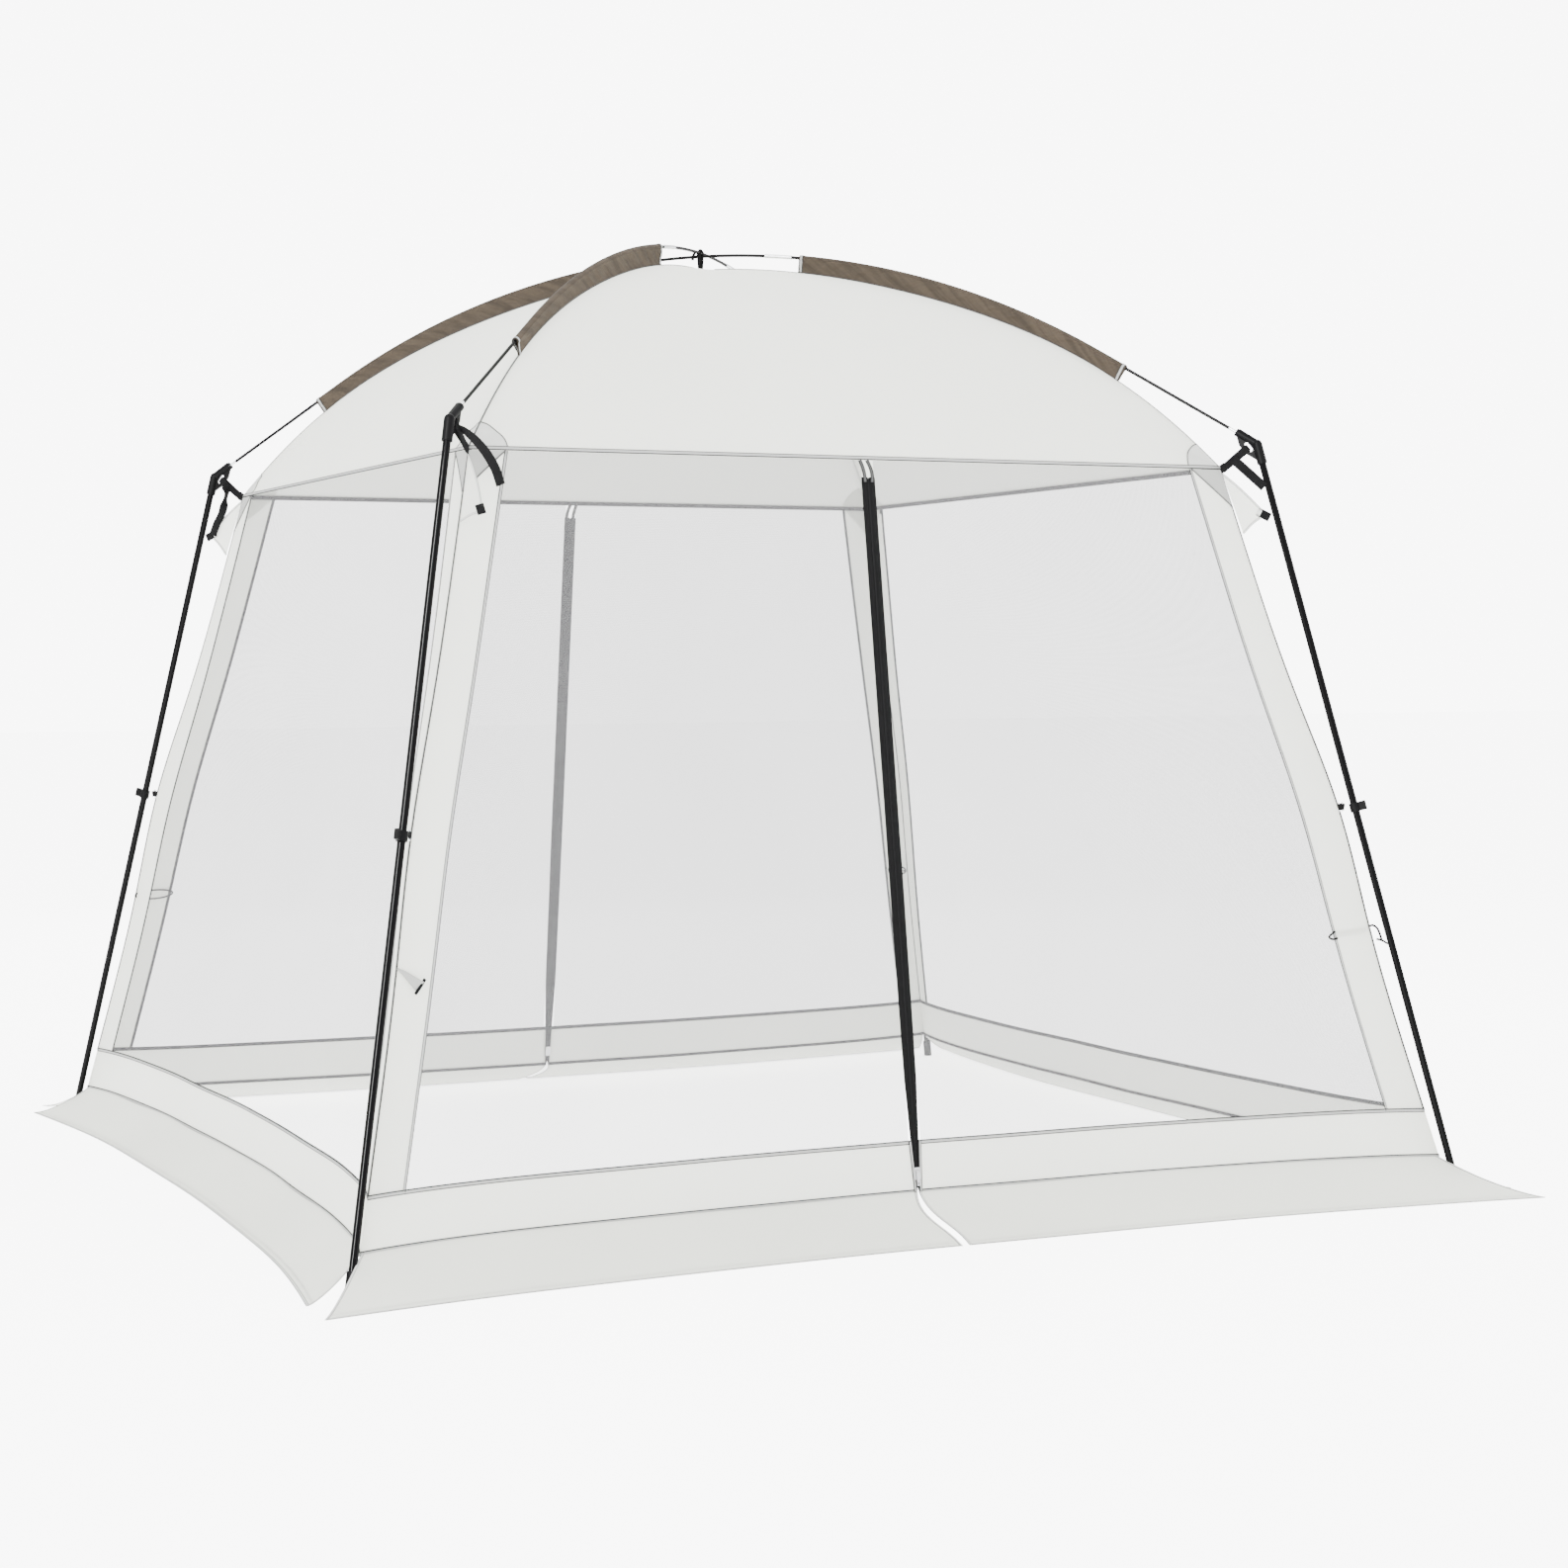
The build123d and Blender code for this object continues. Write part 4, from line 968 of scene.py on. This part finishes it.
def clip_strap(clips, rings, angle):
    """The short strap between the corner of the walls and the leg's clip, with its ring."""
    wall = (corner_half(CLIP_Z) + CLIP_PULL) * math.sqrt(2)
    leg = (FOOT_HALF - (FOOT_HALF - LEG_RIM_HALF) * CLIP_Z / LEG_RIM_Z) * math.sqrt(2)
    span = leg - CLIP_TO_LEG - wall
    share = np.linspace(0, 1, 12)
    for beside in (-0.0013, 0.0013):
        r, z = wall - 0.002 + (span + 0.004) * share, CLIP_Z + 0.001 * np.sin(share * 3)
        clips.strip(corner_place(angle, r, z, np.full(12, beside)), UP, 0.018, 0.0016)
    turns = np.linspace(0, 2 * math.pi, 25)
    loop = corner_place(angle, wall + span * 0.45 + 0.0065 * np.cos(turns), CLIP_Z + 0.0125 * np.sin(turns))
    rings.tube(loop, 0.0019, 8, up=heading(angle + 90))


def straps():
    """The webbing at the hubs and the legs' clips, and the tab inside the right wall's top."""
    webbing, clips, rings = Bundle(), Bundle(), Bundle()
    for angle in CORNERS.values():
        hub_strap(webbing, angle)
        clip_strap(clips, rings, angle)
    across = corner_half(WING_TAB_Z) - WING + np.linspace(-0.013, 0.009, 6)
    webbing.strip(wall_points(WALLS["right"], WING_TAB_Z, across, -0.0045), UP, 0.0135, 0.0022)
    finish_piece(webbing.build("hub_webbing", "webbing"), "black_webbing", "hub_straps")
    finish_piece(clips.build("clip_webbing", "webbing"), "black_webbing", "clip_straps")
    finish_piece(rings.build("clip_rings", "silver"), "silver_steel")


def flap_place(angle, r, z):
    """A place on a corner's gusset, which may be folded round the corner line."""
    line_r = corner_half(z) * math.sqrt(2)
    away = max(0.0, r - line_r)
    turn = math.radians(FOLDED_FLAP_TURN if angle == FOLDED_FLAP else 0)
    bend = 0.006 * math.sin(min(1.0, away / 0.12) * math.pi)
    return corner_place(angle, line_r + away * math.cos(turn), z, away * math.sin(turn) + bend)


def flap_grid(angle):
    """A gusset's points: from the corner line to its tip, and from its upper edge to its lower."""
    top, tip, foot = (np.array(place) for place in (FLAP_TOP, FLAP_TIPS[angle], FLAP_FOOT))
    rows = []
    for s in np.linspace(0, 1, 16):
        belly = math.sin(math.pi * s)
        upper = top + (tip - top) * s + [0, 0.004 * belly]
        lower = foot + (tip - foot - [0, 0.020 * (1 - s)]) * s + [0, 0.010 * belly - 0.014 * s]
        rows.append([flap_place(angle, *(upper + (lower - upper) * t)) for t in np.linspace(0, 1, 10)])
    return np.array(rows)


def flaps():
    """Triangular cloth gussets under the corners, each ending in a piece of webbing."""
    cloth, hems, ends = Bundle(), Bundle(), Bundle()
    for angle in CORNERS.values():
        grid = flap_grid(angle)
        cloth.patch(grid)
        hems.strip(grid[:, 0], grid[:, 1] - grid[:, 0], 0.006, 0.0018)
        hems.strip(grid[:, -1], grid[:, -2] - grid[:, -1], 0.006, 0.0018)
        tip = (grid[-1, 0] + grid[-1, -1]) / 2
        if angle == FOLDED_FLAP:
            facing = heading(341)
            path = [tip + (facing * 0.96 + UP * 0.28) * s for s in np.linspace(-0.010, 0.0105, 8)]
            ends.strip(path, facing * 0.28 - UP * 0.96, 0.0245, 0.0034)
            continue
        leaving = unit(grid[-1].mean(0) - grid[-4].mean(0))
        down = unit(grid[-1, -1] - grid[-1, 0])
        ends.strip([tip + leaving * s for s in np.linspace(-0.012, 0.022, 8)], down, 0.0235, 0.0034)
        hems.strip([tip + leaving * s for s in np.linspace(-0.014, -0.004, 5)], down, 0.023, 0.0046)
    piece = finish_piece(cloth.build("guy_flap_cloth", "cloth"), "off_white_cloth", "guy_flaps")
    finish_piece(hems.build("guy_flap_hems", "hem"), "off_white_cloth")
    finish_piece(ends.build("guy_flap_ends", "webbing"), "black_webbing")


def tie_path(door, places, count=None):
    """Points by (in from the corner line, height, out from the cloth), or count of them, smoothed."""
    angle, side = DOORS[door]
    inward, z, lift = np.array(places).T
    path = wall_points(angle, z, side * (corner_half(z) - inward), lift)
    return smooth_path(path, count) if count else path


def back_tie(black, door, wide, height):
    """A hanging loop with its knot, seen through the net on a back corner panel."""
    turns = np.linspace(0, 2 * math.pi, 40)
    places = []
    for c, s in zip(np.cos(turns), np.sin(turns)):
        places.append((0.0500 + wide * c, height + 0.0135 * s + 0.003 * c, -0.006 - 0.006 * s**2))
    out = heading(DOORS[door][0])
    black.tube(tie_path(door, places), 0.0026, 8, up=out)
    knot = [(0.0550 - wide + s * 0.007, height - 0.004, -0.007) for s in np.linspace(0, 1, 5)]
    black.tube(tie_path(door, knot), np.array([0.001, 0.0028, 0.0032, 0.0028, 0.001]), 10, up=out)


def door_ties():
    """Ties on the corner panels for the opened doors: each one hangs a little differently."""
    white, black = Bundle(), Bundle()
    out = heading(WALLS["front"])
    tab = [(0.001, 0.702, 0.003), (0.020, 0.690, 0.007), (0.042, 0.673, 0.010), (0.063, 0.657, 0.012)]
    white.strip(tie_path("front_left", tab, 18), UP, np.linspace(0.004, 0.029, 18), 0.0014)
    edge = [(0.0520, 0.6420, 0.0125), (0.0625, 0.6575, 0.013), (0.0722, 0.6740, 0.0125)]
    black.strip(tie_path("front_left", edge, 8), out, 0.0034, 0.0072)
    back_tie(black, "back_left", 0.052, 0.690)
    back_tie(black, "back_right", 0.038, 0.676)
    hook = [
        (WING - 0.002, 0.674, 0.003), (WING + 0.009, 0.668, 0.005), (WING + 0.0185, 0.660, 0.005),
        (WING + 0.011, 0.654, 0.005), (WING - 0.004, 0.656, 0.003),
    ]
    black.tube(tie_path("front_right", hook, 30), 0.0026, 8, up=out)
    band = [
        (WING - 0.004, 0.665, -0.004), (0.060, 0.668, -0.005),
        (0.030, 0.672, -0.005), (0.006, 0.677, -0.004),
    ]
    white.strip(tie_path("front_right", band, 20), UP, 0.018, 0.0016)
    loop = [
        (0.001, 0.687, 0.003), (-0.010, 0.688, 0.004), (-0.020, 0.680, 0.004),
        (-0.0245, 0.664, 0.003), (-0.0255, 0.650, 0.003),
    ]
    black.tube(tie_path("front_right", loop, 30), 0.0028, 8, up=out)
    tail = [(-0.010, 0.652, 0.004), (-0.024, 0.648, 0.006), (-0.038, 0.640, 0.005), (-0.051, 0.634, 0.004)]
    black.tube(tie_path("front_right", tail, 20), 0.0027, 8, up=out)
    # painted shade: the tabs take the doubled cloth's darker, shaded off-white
    finish_piece(white.build("door_tie_tabs", "patch"), "off_white_cloth")
    finish_piece(black.build("door_tie_loops", "webbing"), "black_webbing", "door_ties")


def crown_tie():
    """The webbing that hangs the crown of the canopy from the crossed poles, with its knot."""
    tie = Bundle()
    across, along = heading(315), heading(225)
    turns = np.linspace(-0.5 * math.pi, 1.5 * math.pi, 40)
    for direction, square, half in ((across, along, 0.0095), (along, across, 0.0100)):
        rise = CROWN_TIE_Z + 0.0135 * np.sin(turns)
        tie.strip(np.outer(half * np.cos(turns), direction) + np.outer(rise, UP), square, 0.011, 0.0016)
    for sign in (-1, 1):
        hang = [(0.009, 2.545), (0.0085, 2.531), (0.005, 2.516), (0.003, 2.506)]
        hang = [along * sign * out + UP * z for out, z in hang]
        tie.strip(smooth_path(hang, 16), across, 0.013, 0.0016)
    knot = np.outer(np.linspace(-0.007, 0.007, 9), along) + UP * CROWN_KNOT_Z
    radii = np.array([0.002, 0.0045, 0.0055, 0.006, 0.0058, 0.006, 0.0055, 0.0045, 0.002])
    tie.tube(knot, radii, 12, squash=0.7)
    tail = [(0.004, 0.0, 2.560), (0.013, -0.008, 2.558), (0.019, -0.014, 2.545), (0.020, -0.016, 2.532)]
    tail = [along * a + across * b + UP * z for a, b, z in tail]
    tie.strip(smooth_path(tail, 20), across, 0.009, 0.0014)
    finish_piece(tie.build("crown_webbing", "webbing"), "black_webbing", "crown_tie")


CAD_FINISHES = {
    "hub_": "moulding", "leg_clips": "moulding", "foot_caps": "moulding",
    "leg_upper": "steel_tube", "leg_lower": "steel_tube", "roof_pole": "fibreglass",
    "pole_ferrules": "silver", "pole_tips": "silver", "zip_slider": "zip_metal", "zip_pull": "zip_metal",
}


def finish_cad_nodes():
    """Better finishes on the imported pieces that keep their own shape."""
    for name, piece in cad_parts.items():
        for start, finish in CAD_FINISHES.items():
            if name.startswith(start) and name != "hub_straps":
                for place in piece.material_slots:
                    place.material = MATERIALS[finish]


place_camera()
lights()
floor_and_world()
canopy()
hip_lines_and_patches()
corner_panels()
for wall_name in ("left", "right"):
    wall_panel(wall_name, wall_name, 0)
for door_name in DOORS:
    wall_panel(door_name.split("_")[0], door_name, DOORS[door_name][1])
zip_tapes()
zip_tails()
sleeves()
straps()
flaps()
door_ties()
crown_tie()
finish_cad_nodes()
